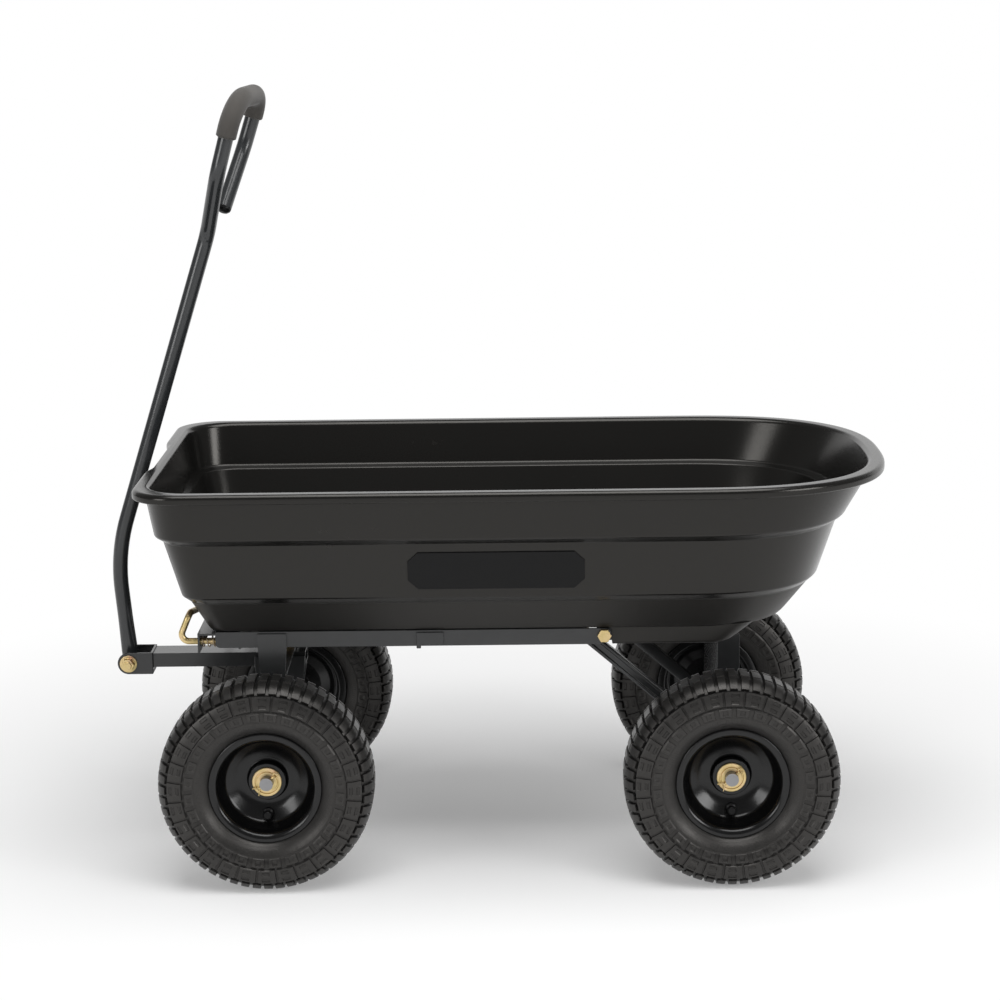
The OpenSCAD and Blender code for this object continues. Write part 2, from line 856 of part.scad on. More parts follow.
module rail(side) {
    color(frame_grey)
        shifted()
            mirror([0, side < 0 ? 1 : 0, 0])
                difference() {
                    union() {
                        translate([0, rail_out, 0])
                            rotate([90, 0, 0])
                                linear_extrude(rail_t)
                                    rail_upright();
                        translate([rail_front, rail_out - rail_w, rail_top - rail_t])
                            cube([flange_end - rail_front, rail_w - rail_t, rail_t]);
                    }
                    translate([hinge_x, rail_out + over, hinge_z])
                        rotate([90, 0, 0])
                            cylinder(d = hinge_d + 2 * run_fit, h = rail_t + 2 * over);
                    translate([window_front, rail_out - rail_w - over, rail_top - rail_t - over])
                        cube([window_back - window_front, rail_w - rail_t + over, rail_t + 2 * over]);
                }
}

module front_crossbar() {
    half = rail_out - rail_t;
    color(frame_grey)
        shifted()
            difference() {
                union() {
                    translate([crossbar_x, -half, crossbar_top - crossbar_h])
                        cube([rail_t, 2 * half, crossbar_h]);
                    translate([crossbar_x, -half, crossbar_top - rail_t])
                        cube([crossbar_back - crossbar_x, 2 * half, rail_t]);
                }
                translate([crossbar_x - over, latch_y, latch_z])
                    rotate([0, 90, 0])
                        cylinder(d = latch_d + 2 * run_fit, h = rail_t + 2 * over);
            }
}

// A strap under the tongue's pivot, with both ends turned up against the rails' outer faces
module bolster() {
    out = rail_out + bolster_t;
    waist = bolster_w * 0.8;
    color(frame_grey)
        shifted()
            difference() {
                union() {
                    translate([king_x - waist / 2, -out, bolster_z])
                        cube([waist, 2 * out, bolster_t]);
                    for (side = [0, 1])
                        mirror([0, side, 0])
                            translate([king_x, out, 0])
                                rotate([90, 0, 0])
                                    linear_extrude(bolster_t)
                                        polygon([
                                            [-waist / 2, bolster_z],
                                            [waist / 2, bolster_z],
                                            [bolster_w / 2, rail_top - rail_h],
                                            [bolster_w / 2, rail_top - rail_t],
                                            [-bolster_w / 2, rail_top - rail_t],
                                            [-bolster_w / 2, rail_top - rail_h]
                                        ]);
                }
                translate([king_x, 0, bolster_z - over])
                    cylinder(d = king_d + 2 * seat_fit, h = bolster_t + 2 * over);
            }
}

king_head_h = king_d * 0.6;
king_nut_h = king_d * 0.8;
king_tip = king_d;

module kingpin() {
    foot = tongue_top - tongue_h - face_gap;
    color(zinc_gold)
        shifted()
            translate([king_x, 0, 0]) {
                translate([0, 0, bolster_z + bolster_t])
                    hex_head(king_d * 1.8, king_head_h);
                translate([0, 0, foot - king_nut_h - king_tip])
                    cylinder(d = king_d, h = bolster_z + bolster_t - foot + king_nut_h + king_tip);
                translate([0, 0, foot - washer_t])
                    cylinder(d = king_d * 1.9, h = washer_t);
                translate([0, 0, foot - washer_t - king_nut_h])
                    hex_head(king_d * 1.7, king_nut_h);
            }
}

module thrust_washer() {
    color(axle_grey)
        shifted()
            translate([king_x, 0, bolster_z - thrust_t])
                difference() {
                    cylinder(d = king_d * 2.1, h = thrust_t);
                    translate([0, 0, -over])
                        cylinder(d = king_d + 2 * seat_fit, h = thrust_t + 2 * over);
                }
}

clip_t = rail_t;

module rail_clips() {
    clip_x = front_x + clip_place;
    color(frame_grey)
        shifted()
            for (side = [0, 1])
                mirror([0, side, 0])
                    translate([clip_x, rail_out + clip_t, rail_top - rail_h])
                        rotate([90, 0, 0])
                            linear_extrude(clip_t)
                                polygon([
                                    [-clip_l / 2, -clip_t],
                                    [-clip_l / 3, -clip_t],
                                    [-clip_l / 3, clip_t],
                                    [clip_l / 2, clip_t],
                                    [clip_l / 2, rail_h - clip_t],
                                    [-clip_l / 2, rail_h - clip_t]
                                ]);
}

// Latch: a bent rod that slides through the crossbar and a guide, pressed back by a spring

module latch_guide() {
    color(frame_grey)
        shifted()
            difference() {
                translate([guide_x, -(rail_out - rail_t), latch_z - latch_d])
                    cube([guide_t, latch_in + latch_d - rail_t, crossbar_top - rail_t - latch_z + latch_d]);
                translate([guide_x - over, latch_y, latch_z])
                    rotate([0, 90, 0])
                        cylinder(d = latch_d + 2 * run_fit, h = guide_t + 2 * over);
            }
}

pull_bend_r = 1.1 * latch_d;
pull_lean = pull_rise * 0.42;

// The rod is round where it slides, and its bent pull starts inside its front end
pull_x = crossbar_x - pull_lead;
pull_start = pull_x + pull_bend_r * 1.2;
pull_r = latch_d / 2 * 0.98;
pull_top = [pull_x + pull_lean, latch_y, latch_z + pull_rise];

module latch_rod() {
    color(zinc_gold)
        shifted() {
            translate([pull_start, latch_y, latch_z])
                rotate([0, 90, 0])
                    cylinder(d = latch_d, h = strike_x - strike_gap - pull_start);
            swept(tube_rings(
                route(
                    [
                        [pull_start + latch_d / 4, latch_y, latch_z],
                        [pull_x, latch_y, latch_z],
                        pull_top,
                        pull_top + [0, pull_l, -pull_fall]
                    ],
                    [pull_bend_r, pull_bend_r]
                ),
                pull_r
            ));
        }
}

collar_front = crossbar_x + rail_t + spring_l;
collar_d = spring_d + wire_d;

module latch_collar() {
    color(zinc_gold)
        shifted()
            translate([collar_front, latch_y, latch_z])
                rotate([0, 90, 0])
                    difference() {
                        cylinder(d = collar_d, h = rail_h / 4);
                        translate([0, 0, -over])
                            cylinder(d = latch_d + 2 * seat_fit, h = rail_h / 4 + 2 * over);
                    }
}

// The spring is one tube along a helix, with ends that run straight for one wire diameter along the rod
curl_rings = 8;
wire_sides = 6;
spring_seat = face_gap;
helix_l = spring_l - 2 * spring_seat - 2 * wire_d;
helix_steps = spring_curls * curl_rings;
helix = [for (i = [0:helix_steps])
    let (a = 360 * i / curl_rings)
    [helix_l * i / helix_steps, spring_d / 2 * cos(a), spring_d / 2 * sin(a)]];
wire_path = concat(
    [helix[0] - [wire_d, 0, 0]],
    helix,
    [helix[helix_steps] + [wire_d, 0, 0]]
);

function wire_way(i) =
    i == 0 || i == len(wire_path) - 1
        ? [1, 0, 0]
        : unit(wire_path[i + 1] - wire_path[i - 1]);

function wire_ring(i) =
    let (
        way = wire_way(i),
        out = unit([0, wire_path[i][1], wire_path[i][2]]),
        flat = unit(out - way * (out * way)),
        side = cross(way, flat)
    )
    [for (j = [0:wire_sides - 1])
        wire_path[i] + wire_d / 2 * (flat * cos(360 * j / wire_sides) + side * sin(360 * j / wire_sides))];

wire_rings = [for (i = [0:len(wire_path) - 1]) wire_ring(i)];

// Least gap between points of the wire that lie at least half a curl apart along it
wire_gap = min([for (i = [0:len(wire_path) - 1], k = [i + curl_rings / 2:1:len(wire_path) - 1])
    norm(wire_path[i] - wire_path[k]) - wire_d]);
echo(spring_least_gap = wire_gap);

module latch_spring() {
    color(axle_grey)
        shifted()
            translate([crossbar_x + rail_t + spring_seat + wire_d, latch_y, latch_z])
                swept(wire_rings);
}

// The strike hangs from the floor behind the latch rod's tip
module strike_plate() {
    out = rail_out - rail_t * 3;
    color(frame_grey)
        shifted()
            difference() {
                union() {
                    translate([strike_x, -out, latch_z - latch_d])
                        cube([strike_t, rail_w * 1.2, floor_z - latch_z + latch_d]);
                    translate([strike_x, -out + rail_w * 0.9, floor_z - foot_t])
                        cube([rail_w * 1.6, rail_w, foot_t]);
                }
                translate([strike_x - over, latch_y, latch_z])
                    rotate([0, 90, 0])
                        cylinder(d = latch_d + 2 * face_gap, h = strike_t + 2 * over);
                translate([strike_x + rail_w, -out + rail_w * 1.4, floor_z - foot_t - over])
                    cylinder(d = screw_d + 2 * seat_fit, h = foot_t + 2 * over);
            }
}

// Steering: the tongue tube turns on the kingpin and carries the fork plates and the front axle

tongue_front = pivot_x + clevis_l;
tongue_back = king_x + fork_l * 0.42;

module tongue() {
    length = tongue_back - tongue_front;
    color(frame_grey)
        shifted()
            difference() {
                translate([tongue_front, -tongue_w / 2, tongue_z - tongue_h / 2])
                    cube([length, tongue_w, tongue_h]);
                translate([tongue_front - over, -tongue_w / 2 + tongue_t, tongue_z - tongue_h / 2 + tongue_t])
                    cube([length + 2 * over, tongue_w - 2 * tongue_t, tongue_h - 2 * tongue_t]);
                translate([king_x, 0, tongue_z - tongue_h])
                    cylinder(d = king_d + 2 * run_fit, h = 2 * tongue_h);
            }
}

fork_foot_r = axle_d * 1.1;

module fork(side) {
    color(frame_grey)
        shifted()
            translate([front_x, side * (tongue_w / 2 + fork_t / 2) + fork_t / 2, 0])
                rotate([90, 0, 0])
                    difference() {
                        linear_extrude(fork_t)
                            union() {
                                translate([0, axle_z])
                                    circle(fork_foot_r);
                                polygon([
                                    [-fork_foot_r, axle_z],
                                    [fork_foot_r, axle_z],
                                    [fork_l / 2, tongue_z - tongue_h / 2],
                                    [fork_l / 2, tongue_z + tongue_h / 4],
                                    [-fork_l / 2, tongue_z + tongue_h / 4],
                                    [-fork_l / 2, tongue_z - tongue_h / 2]
                                ]);
                            }
                        translate([0, axle_z, -over])
                            cylinder(d = axle_d + 2 * seat_fit, h = fork_t + 2 * over);
                    }
}

// A clevis of two cheeks and a web across the tongue's front end
module clevis(side) {
    color(frame_grey)
        shifted()
            translate([0, side * (tongue_w / 2 + clevis_t / 2) + clevis_t / 2, 0])
                rotate([90, 0, 0])
                    difference() {
                        linear_extrude(clevis_t)
                            union() {
                                translate([pivot_x, pivot_z])
                                    circle(clevis_h / 2);
                                translate([pivot_x, pivot_z - clevis_h / 2])
                                    square([clevis_l, clevis_h]);
                            }
                        translate([pivot_x, pivot_z, -over])
                            cylinder(d = pivot_d + 2 * seat_fit, h = clevis_t + 2 * over);
                    }
}

module clevis_web() {
    color(frame_grey)
        shifted()
            translate([tongue_front - clevis_t, -tongue_w / 2, pivot_z - clevis_h / 2])
                cube([clevis_t, tongue_w, clevis_h]);
}

pivot_head_h = pivot_d * 0.6;
pivot_nut_h = pivot_d * 0.8;
pivot_ring_t = pivot_d * 0.2;

module handle_pivot() {
    half = tongue_w / 2 + clevis_t;
    color(zinc_gold)
        shifted()
            translate([pivot_x, 0, pivot_z])
                rotate([90, 0, 0]) {
                    translate([0, 0, -half])
                        cylinder(d = pivot_d, h = 2 * half + pivot_ring_t + 1.3 * pivot_nut_h);
                    translate([0, 0, -half - pivot_head_h])
                        hex_head(pivot_d * 1.7, pivot_head_h);
                    translate([0, 0, half])
                        cylinder(d = pivot_d * 2.2, h = pivot_ring_t);
                    translate([0, 0, half + pivot_ring_t])
                        hex_head(pivot_d * 1.7, pivot_nut_h);
                }
}

// Handle: one bent tube, whose end comes round a loop and back to the shaft

function on_shaft(up, back, y) = bend + shaft_up * up + shaft_back * back + [0, y, 0];

// Heights of the loop's turns above the fork, as shares of the loop's height
near_corner_share = 0.95;
near_shoulder_share = 0.44;
far_shoulder_share = 0.62;
tail_share = 0.2;
pivot = [pivot_x, 0, pivot_z];
loop_fork = on_shaft(shaft_l, 0, 0);
near_corner = on_shaft(shaft_l + loop_h * near_corner_share, -near_set, -loop_w / 2);
far_corner = on_shaft(shaft_l + loop_h, loop_set, loop_w / 2);
near_shoulder = on_shaft(shaft_l + loop_h * near_shoulder_share, -near_set / 2, -loop_w / 2);
far_shoulder = on_shaft(shaft_l + loop_h * far_shoulder_share, loop_set, loop_w / 2);
tail = on_shaft(shaft_l + loop_h * tail_share, loop_set, loop_w / 12);
tail_way = unit(tail - far_shoulder);
handle_r = handle_d / 2;
handle_hole = handle_r - handle_t;
handle_route = route(
    [pivot, bend, loop_fork, near_shoulder, near_corner, far_corner, far_shoulder, tail],
    [bend_r, bend_r, bend_r, corner_bend_r, far_bend_r, bend_r]
);

sleeve_d = pivot_d * 1.6;
sleeve_half = tongue_w / 2 - face_gap;

module across_pivot(d, half) {
    translate(pivot + [0, half, 0])
        rotate([90, 0, 0])
            cylinder(d = d, h = 2 * half);
}

module handle_tube() {
    color(cap_black)
        shifted()
            difference() {
                pipe(handle_route, handle_r, handle_hole);
                across_pivot(sleeve_d + 2 * seat_fit, handle_d);
            }
}

// The sleeve that the pivot bolt turns in
module handle_sleeve() {
    color(cap_black)
        shifted()
            difference() {
                across_pivot(sleeve_d, sleeve_half);
                across_pivot(pivot_d + 2 * run_fit, sleeve_half + over);
            }
}

// The grip runs past both turns of the loop
module foam_grip() {
    near_end = near_corner - unit(near_corner - near_shoulder) * corner_bend_r * 1.19;
    far_end = far_corner - shaft_up * far_bend_r * 1.2;
    color(foam_grey)
        shifted()
            pipe(
                route([near_end, near_corner, far_corner, far_end], [corner_bend_r, far_bend_r]),
                grip_d / 2,
                round_outside(handle_r + seat_fit)
            );
}

// A rounded plug in the open end of the loop, as shares of the tube's radius
cap_shares = [[1, 0], [0.95, 0.3], [0.7, 0.56], [0.35, 0.7], [0, 0.72]];

module handle_end_cap() {
    plug_r = handle_hole * cos(180 / tube_sides) - seat_fit;
    plug_h = handle_d / 4;
    color(cap_black)
        shifted()
            translate(tail)
                aimed(tail_way)
                    rotate_extrude()
                        polygon(concat(
                            [[0, -plug_h], [plug_r, -plug_h], [plug_r, 0]],
                            [for (p = cap_shares) p * handle_r]
                        ));
}

// Rear bracket: a web across the cart with a side plate at each end, braced by two struts

web_x = rear_x - bracket_l * 0.37;

module rear_bracket_web() {
    color(frame_grey)
        shifted()
            translate([web_x, -bracket_w / 2 + bracket_t, axle_z + axle_d])
                cube([bracket_t, bracket_w - 2 * bracket_t, well_z - axle_z - axle_d]);
}

module rear_bracket_side(side) {
    color(frame_grey)
        shifted()
            translate([0, side * (bracket_w - bracket_t) / 2 + bracket_t / 2, 0])
                rotate([90, 0, 0])
                    difference() {
                        linear_extrude(bracket_t)
                            union() {
                                translate([web_x, axle_z])
                                    square([bracket_l, well_z - axle_z]);
                                translate([web_x + bracket_l / 2, axle_z])
                                    circle(bracket_l / 2);
                            }
                        translate([rear_x, axle_z, -over])
                            cylinder(d = axle_d + 2 * seat_fit, h = bracket_t + 2 * over);
                    }
}

strut_y = bracket_w / 2 - bracket_t - strut_w / 2;
strut_top = [hinge_x - strut_lead, floor_z - foot_t];
strut_low = [web_x, axle_z + strut_w * 0.6];
strut_dir = unit(strut_low - strut_top);
strut_cross = [strut_dir[1], -strut_dir[0]];

// A square tube cut level under its foot and upright against the web
module strut(side) {
    color(frame_grey)
        shifted()
            translate([0, side * strut_y + strut_w / 2, 0])
                rotate([90, 0, 0])
                    difference() {
                        linear_extrude(strut_w)
                            strut_outline(strut_w / 2);
                        translate([0, 0, strut_t])
                            linear_extrude(strut_w - 2 * strut_t)
                                strut_outline(strut_w / 2 - strut_t);
                    }
}

// Both ends of the strut's side view lie on the foot's underside and on the web's face
function on_level(p, z) = p + strut_dir * ((z - p[1]) / strut_dir[1]);
function on_upright(p, x) = p + strut_dir * ((x - p[0]) / strut_dir[0]);

module strut_outline(half) {
    a = strut_top + strut_cross * half;
    b = strut_top - strut_cross * half;
    polygon([
        on_level(a, strut_top[1]),
        on_upright(a, web_x),
        on_upright(b, web_x),
        on_level(b, strut_top[1])
    ]);
}

screw_d = 6;
foot_l = strut_w * 3.2;
foot_w = strut_w * 1.2;

module strut_feet() {
    color(frame_grey)
        shifted()
            for (side = [LEFT, RIGHT])
                difference() {
                    translate([strut_top[0] - foot_l / 2, side * strut_y - foot_w / 2, floor_z - foot_t])
                        cube([foot_l, foot_w, foot_t]);
                    for (end = [-1, 1])
                        translate([strut_top[0] + end * foot_l * 0.4, side * strut_y, floor_z - foot_t - over])
                            cylinder(d = screw_d + 2 * seat_fit, h = foot_t + 2 * over);
                }
}

module tub_screw() {
    cylinder(d = screw_d, h = foot_t);
    translate([0, 0, -screw_d * 0.6])
        hex_head(screw_d * 1.7, screw_d * 0.6);
}

module tub_screws() {
    color(zinc_gold)
        shifted() {
            for (side = [LEFT, RIGHT], end = [-1, 1])
                translate([strut_top[0] + end * foot_l * 0.4, side * strut_y, floor_z - foot_t])
                    tub_screw();
            translate([strike_x + rail_w, -(rail_out - rail_t * 3) + rail_w * 1.4, floor_z - foot_t])
                tub_screw();
        }
}

tub();
rear_well();
badge_plate();
hinge_ear(LEFT);  // hinge_ear_left
hinge_ear(RIGHT);  // hinge_ear_right
hinge_rod();
strike_plate();
tub_screws();
rear_bracket_web();
rear_bracket_side(LEFT);  // rear_bracket_left
rear_bracket_side(RIGHT);  // rear_bracket_right
strut(LEFT);  // strut_left
strut(RIGHT);  // strut_right
strut_feet();
axle(rear_x);  // rear_axle
washers(rear_x);  // rear_washers
collars(rear_x);  // rear_collars
cotters(rear_x);  // rear_cotters
rail(LEFT);  // rail_left
rail(RIGHT);  // rail_right
front_crossbar();
bolster();
kingpin();
thrust_washer();
rail_clips();
latch_guide();
latch_rod();
latch_collar();
latch_spring();
tongue();
fork(LEFT);  // fork_left
fork(RIGHT);  // fork_right
clevis(LEFT);  // clevis_left
clevis(RIGHT);  // clevis_right
clevis_web();
handle_pivot();
axle(front_x);  // front_axle
washers(front_x);  // front_washers
collars(front_x);  // front_collars
cotters(front_x);  // front_cotters
handle_tube();
handle_sleeve();
foam_grip();
handle_end_cap();
tyre(front_x, LEFT);  // tyre_front_left
tyre(front_x, RIGHT);  // tyre_front_right
tyre(rear_x, LEFT);  // tyre_rear_left
tyre(rear_x, RIGHT);  // tyre_rear_right
rim(front_x, LEFT);  // rim_front_left
rim(front_x, RIGHT);  // rim_front_right
rim(rear_x, LEFT);  // rim_rear_left
rim(rear_x, RIGHT);  // rim_rear_right
hub(front_x, LEFT);  // hub_front_left
hub(front_x, RIGHT);  // hub_front_right
hub(rear_x, LEFT);  // hub_rear_left
hub(rear_x, RIGHT);  // hub_rear_right
valve(front_x, LEFT);  // valve_front_left
valve(front_x, RIGHT);  // valve_front_right
valve(rear_x, LEFT);  // valve_rear_left
valve(rear_x, RIGHT);  // valve_rear_right
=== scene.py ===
import json
import math

import bmesh
import bpy
import numpy as np
from mathutils import Matrix


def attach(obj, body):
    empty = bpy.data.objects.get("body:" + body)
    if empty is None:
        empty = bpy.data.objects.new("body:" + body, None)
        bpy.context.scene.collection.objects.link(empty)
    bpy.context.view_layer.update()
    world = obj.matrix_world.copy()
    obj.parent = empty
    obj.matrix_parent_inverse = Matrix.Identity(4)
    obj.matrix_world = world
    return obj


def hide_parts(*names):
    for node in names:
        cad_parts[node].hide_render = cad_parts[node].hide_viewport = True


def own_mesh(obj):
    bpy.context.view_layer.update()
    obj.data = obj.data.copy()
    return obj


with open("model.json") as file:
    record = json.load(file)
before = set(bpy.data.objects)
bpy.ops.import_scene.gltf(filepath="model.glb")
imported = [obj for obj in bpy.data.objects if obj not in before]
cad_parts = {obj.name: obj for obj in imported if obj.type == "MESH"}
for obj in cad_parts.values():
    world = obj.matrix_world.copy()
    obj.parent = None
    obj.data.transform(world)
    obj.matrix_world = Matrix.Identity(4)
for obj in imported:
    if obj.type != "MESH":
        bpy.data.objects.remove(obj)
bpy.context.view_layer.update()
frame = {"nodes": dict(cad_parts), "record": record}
NODES = frame["nodes"]

# Lengths below are millimetres from the middle of the wheelbase; SHIFT takes them to the part's own origin.
MM = 0.001
SHIFT = np.array([5.72622, 0.0, 0.0])
WHEELS = {
    "front_left": (-280.0, -216.5, "wheel_front_left"),
    "front_right": (-280.0, 216.5, "wheel_front_right"),
    "rear_left": (280.0, -216.5, "wheel_rear_left"),
    "rear_right": (280.0, 216.5, "wheel_rear_right"),
}
AXLE_Z = 130.0


# Shader values and finishes


class Field:
    """A value in a finish. Sums, differences and products of fields add Math nodes."""

    def __init__(self, finish, socket):
        self.finish, self.socket = finish, socket

    def _math(self, operation, *values):
        return self.finish.add("ShaderNodeMath", {"operation": operation}, dict(enumerate(values)))

    def __add__(self, other):
        return self._math("ADD", self, other)

    __radd__ = __add__

    def __rsub__(self, other):
        return self._math("SUBTRACT", other, self)

    def __mul__(self, other):
        return self._math("MULTIPLY", self, other)

    __rmul__ = __mul__

    def fraction(self):
        """What is left above the whole number."""
        return self._math("FRACT", self)

    def near(self, place, width):
        """1 within width of place, else 0."""
        return self._math("COMPARE", self, place, width)

    def over(self, limit):
        """1 above the limit, else 0."""
        return self._math("GREATER_THAN", self, limit)


class Finish:
    """A procedural material: one Principled shader, its constants, and the nodes that vary it."""

    def __init__(self, name, **constants):
        self.material = bpy.data.materials.new(name)
        self.material.use_nodes = True
        self.tree = self.material.node_tree
        self.tree.nodes.clear()
        self.shader = self.tree.nodes.new("ShaderNodeBsdfPrincipled")
        end = self.tree.nodes.new("ShaderNodeOutputMaterial")
        self.tree.links.new(self.shader.outputs[0], end.inputs[0])
        for key, value in constants.items():
            self.shader.inputs[key.replace("_", " ").title().replace("Ior", "IOR")].default_value = value

    def add(self, kind, settings=None, sockets=None, out=0):
        """Adds one node: its settings first, then the values or links of its sockets."""
        node = self.tree.nodes.new(kind)
        for key, value in (settings or {}).items():
            if key == "stops":
                ramp = node.color_ramp.elements
                while len(ramp) < len(value):
                    ramp.new(0.5)
                for element, (place, colour) in zip(ramp, value):
                    element.position, element.color = place, (*colour, 1.0)
            else:
                setattr(node, key, value)
        for key, value in (sockets or {}).items():
            self.feed(node.inputs[key], value)
        return Field(self, node.outputs[out])

    def feed(self, socket, value):
        """Links a field to a socket, or sets the socket to a plain value."""
        if isinstance(value, Field):
            self.tree.links.new(value.socket, socket)
        else:
            socket.default_value = value

    def set(self, **values):
        """Feeds the shader's own sockets, named in lower case."""
        for key, value in values.items():
            self.feed(self.shader.inputs[key.replace("_", " ").title()], value)

    def place(self):
        """The point in the piece's own coordinates, in metres."""
        return self.add("ShaderNodeTexCoord", out=3)

    def map(self, axis):
        """u or v of the piece's own map."""
        where = self.add("ShaderNodeTexCoord", out=2)
        return self.add("ShaderNodeSeparateXYZ", sockets={0: where}, out="uv".index(axis))

    def along(self, axis):
        """x, y or z of that point."""
        return self.add("ShaderNodeSeparateXYZ", sockets={0: self.place()}, out="xyz".index(axis))

    def noise(self, scale, detail=3.0, rough=0.5, stretch=(1, 1, 1)):
        """Noise about the point, finer along the axes that are stretched."""
        where = self.place()
        if stretch != (1, 1, 1):
            where = self.add("ShaderNodeMapping", sockets={0: where, 3: stretch})
        grain = {"Vector": where, "Scale": scale, "Detail": detail, "Roughness": rough}
        return self.add("ShaderNodeTexNoise", sockets=grain)

    def mark(self, name):
        """A value stored at the mesh's points."""
        return self.add("ShaderNodeAttribute", {"attribute_name": name}, out=2)

    def mix(self, factor, a, b):
        """Colour a where factor is 0 and colour b where it is 1."""
        a, b = [(*c, 1.0) if isinstance(c, tuple) and len(c) == 3 else c for c in (a, b)]
        return self.add("ShaderNodeMix", {"data_type": "RGBA"}, {0: factor, 6: a, 7: b}, out=2)

    def relief(self, height, depth):
        """Bump of a depth in metres."""
        sockets = {"Height": height, "Distance": depth, "Strength": 1.0}
        self.set(Normal=self.add("ShaderNodeBump", sockets=sockets))


def moulded_plastic():
    """Black moulded polyethylene: faint flow clouds, a fine grain, a few scuffs, and a rougher lowest tier
    whose colour is lifted as painted light, standing in for the bright floor it reflects.
    """
    f = Finish("moulded_plastic", specular_ior_level=0.40, specular_tint=(1.0, 0.97, 0.92, 1.0))
    cloud = f.noise(4.0, 4.0, 0.55)
    scuff = f.noise(55.0, 3.0, 0.7, (1, 6, 1)).over(0.68) * f.noise(9.0).over(0.56)
    tone = f.mix(cloud, (0.0046, 0.0044, 0.0041), (0.0068, 0.0065, 0.0060))
    # Painted light: below the step at 0.345 m the base colour is lifted towards grey, standing in for a
    # reflection of the bright floor. The same mask also makes this tier rougher.
    dull = 1.0 - f.along("z").over(0.345)
    f.set(base_color=f.mix(scuff * 0.25 + dull * 0.4, tone, (0.020, 0.019, 0.018)))
    f.set(roughness=0.17 + cloud * 0.08 + scuff * 0.06 + dull * 0.22)
    f.relief(f.noise(1400.0, 2.0) + f.noise(220.0, 2.0) * 0.6, 0.00004)
    return f


def charcoal_coat():
    """Charcoal powder coat on steel: orange peel, slight mottle and thin spots."""
    f = Finish("charcoal_coat", specular_ior_level=0.5, coat_roughness=0.25)
    mottle = f.noise(30.0, 4.0, 0.6)
    rub = f.noise(140.0, 3.0, 0.7).over(0.7) * f.noise(14.0).over(0.54)
    tone = f.mix(mottle, (0.0185, 0.0192, 0.0198), (0.0290, 0.0300, 0.0308))
    f.set(base_color=f.mix(rub * 0.3, tone, (0.06, 0.063, 0.066)))
    f.set(roughness=0.18 + mottle * 0.12, coat_weight=0.08 + mottle * 0.1)
    f.relief(f.noise(520.0, 2.0), 0.00003)
    return f


def handle_coat():
    """Semi-gloss charcoal coat on the handle tube, with hand wear."""
    f = Finish("handle_coat", specular_ior_level=0.5, coat_roughness=0.18)
    mottle = f.noise(24.0, 4.0, 0.6)
    rub = f.noise(90.0, 3.0, 0.7, (1, 1, 0.25)).over(0.72)
    tone = f.mix(mottle, (0.0185, 0.0200, 0.0215), (0.0285, 0.0305, 0.0325))
    f.set(base_color=f.mix(rub * 0.25, tone, (0.075, 0.078, 0.082)))
    f.set(roughness=0.18 + mottle * 0.12, coat_weight=0.2 + mottle * 0.08)
    f.relief(f.noise(600.0, 2.0), 0.00006)
    return f


def yellow_zinc():
    """Yellow chromated zinc: gold with rose and green tints that drift over it."""
    f = Finish("yellow_zinc", metallic=1.0)
    drift = f.noise(60.0, 3.0, 0.6)
    stops = [
        (0.25, (0.44, 0.36, 0.17)),
        (0.45, (0.68, 0.53, 0.25)),
        (0.58, (0.74, 0.57, 0.31)),
        (0.75, (0.68, 0.42, 0.29)),
    ]
    tints = f.add("ShaderNodeValToRGB", {"stops": stops}, {0: drift})
    dull = f.noise(400.0, 3.0)
    f.set(base_color=tints, roughness=0.26 + dull * 0.22)
    f.relief(dull, 0.00005)
    return f


def bare_steel(name, tone):
    """Turned steel: grey with fine rings of machining and a little tarnish."""
    f = Finish(name, metallic=0.95)
    streak = f.noise(300.0, 3.0, 0.6, (1, 12, 1))
    stain = f.noise(45.0, 4.0, 0.6)
    f.set(base_color=f.mix(stain, tuple(0.7 * c for c in tone), tone))
    f.set(roughness=0.26 + streak * 0.2 + stain * 0.08)
    f.relief(streak, 0.00004)
    return f


def gloss_black():
    """Gloss black paint on pressed steel, with a little settled dust."""
    f = Finish("gloss_black", specular_ior_level=0.34, coat_roughness=0.1)
    dust = f.noise(120.0, 5.0, 0.7)
    haze = f.noise(18.0, 3.0)
    f.set(base_color=f.mix(dust * 0.5, (0.0022, 0.0022, 0.0024), (0.0062, 0.0062, 0.0064)))
    f.set(roughness=0.14 + haze * 0.1 + dust * 0.05, coat_weight=0.1 + haze * 0.1)
    f.relief(f.noise(380.0, 2.0), 0.00003)
    return f


def satin_black():
    """Satin black plastic trim with a fine grain."""
    f = Finish("satin_black", specular_ior_level=0.2)
    grain = f.noise(900.0, 2.0)
    cloud = f.noise(35.0, 3.0)
    f.set(base_color=f.mix(cloud, (0.0024, 0.0024, 0.0026), (0.0042, 0.0042, 0.0045)))
    f.set(roughness=0.3 + cloud * 0.1 + grain * 0.06)
    f.relief(grain, 0.00004)
    return f


def soft_foam():
    """Closed-cell foam: matte warm grey, pores and a soft sheen."""
    f = Finish("soft_foam", sheen_weight=0.25, sheen_roughness=0.5, specular_ior_level=0.25)
    pores = f.add("ShaderNodeTexVoronoi", sockets={"Vector": f.place(), "Scale": 900.0})
    cloud = f.noise(40.0, 4.0, 0.6)
    f.set(base_color=f.mix(cloud, (0.050, 0.046, 0.042), (0.070, 0.065, 0.059)))
    f.set(roughness=0.8 + cloud * 0.12)
    f.relief(pores + f.noise(350.0, 3.0) * 0.6, 0.00016)
    return f


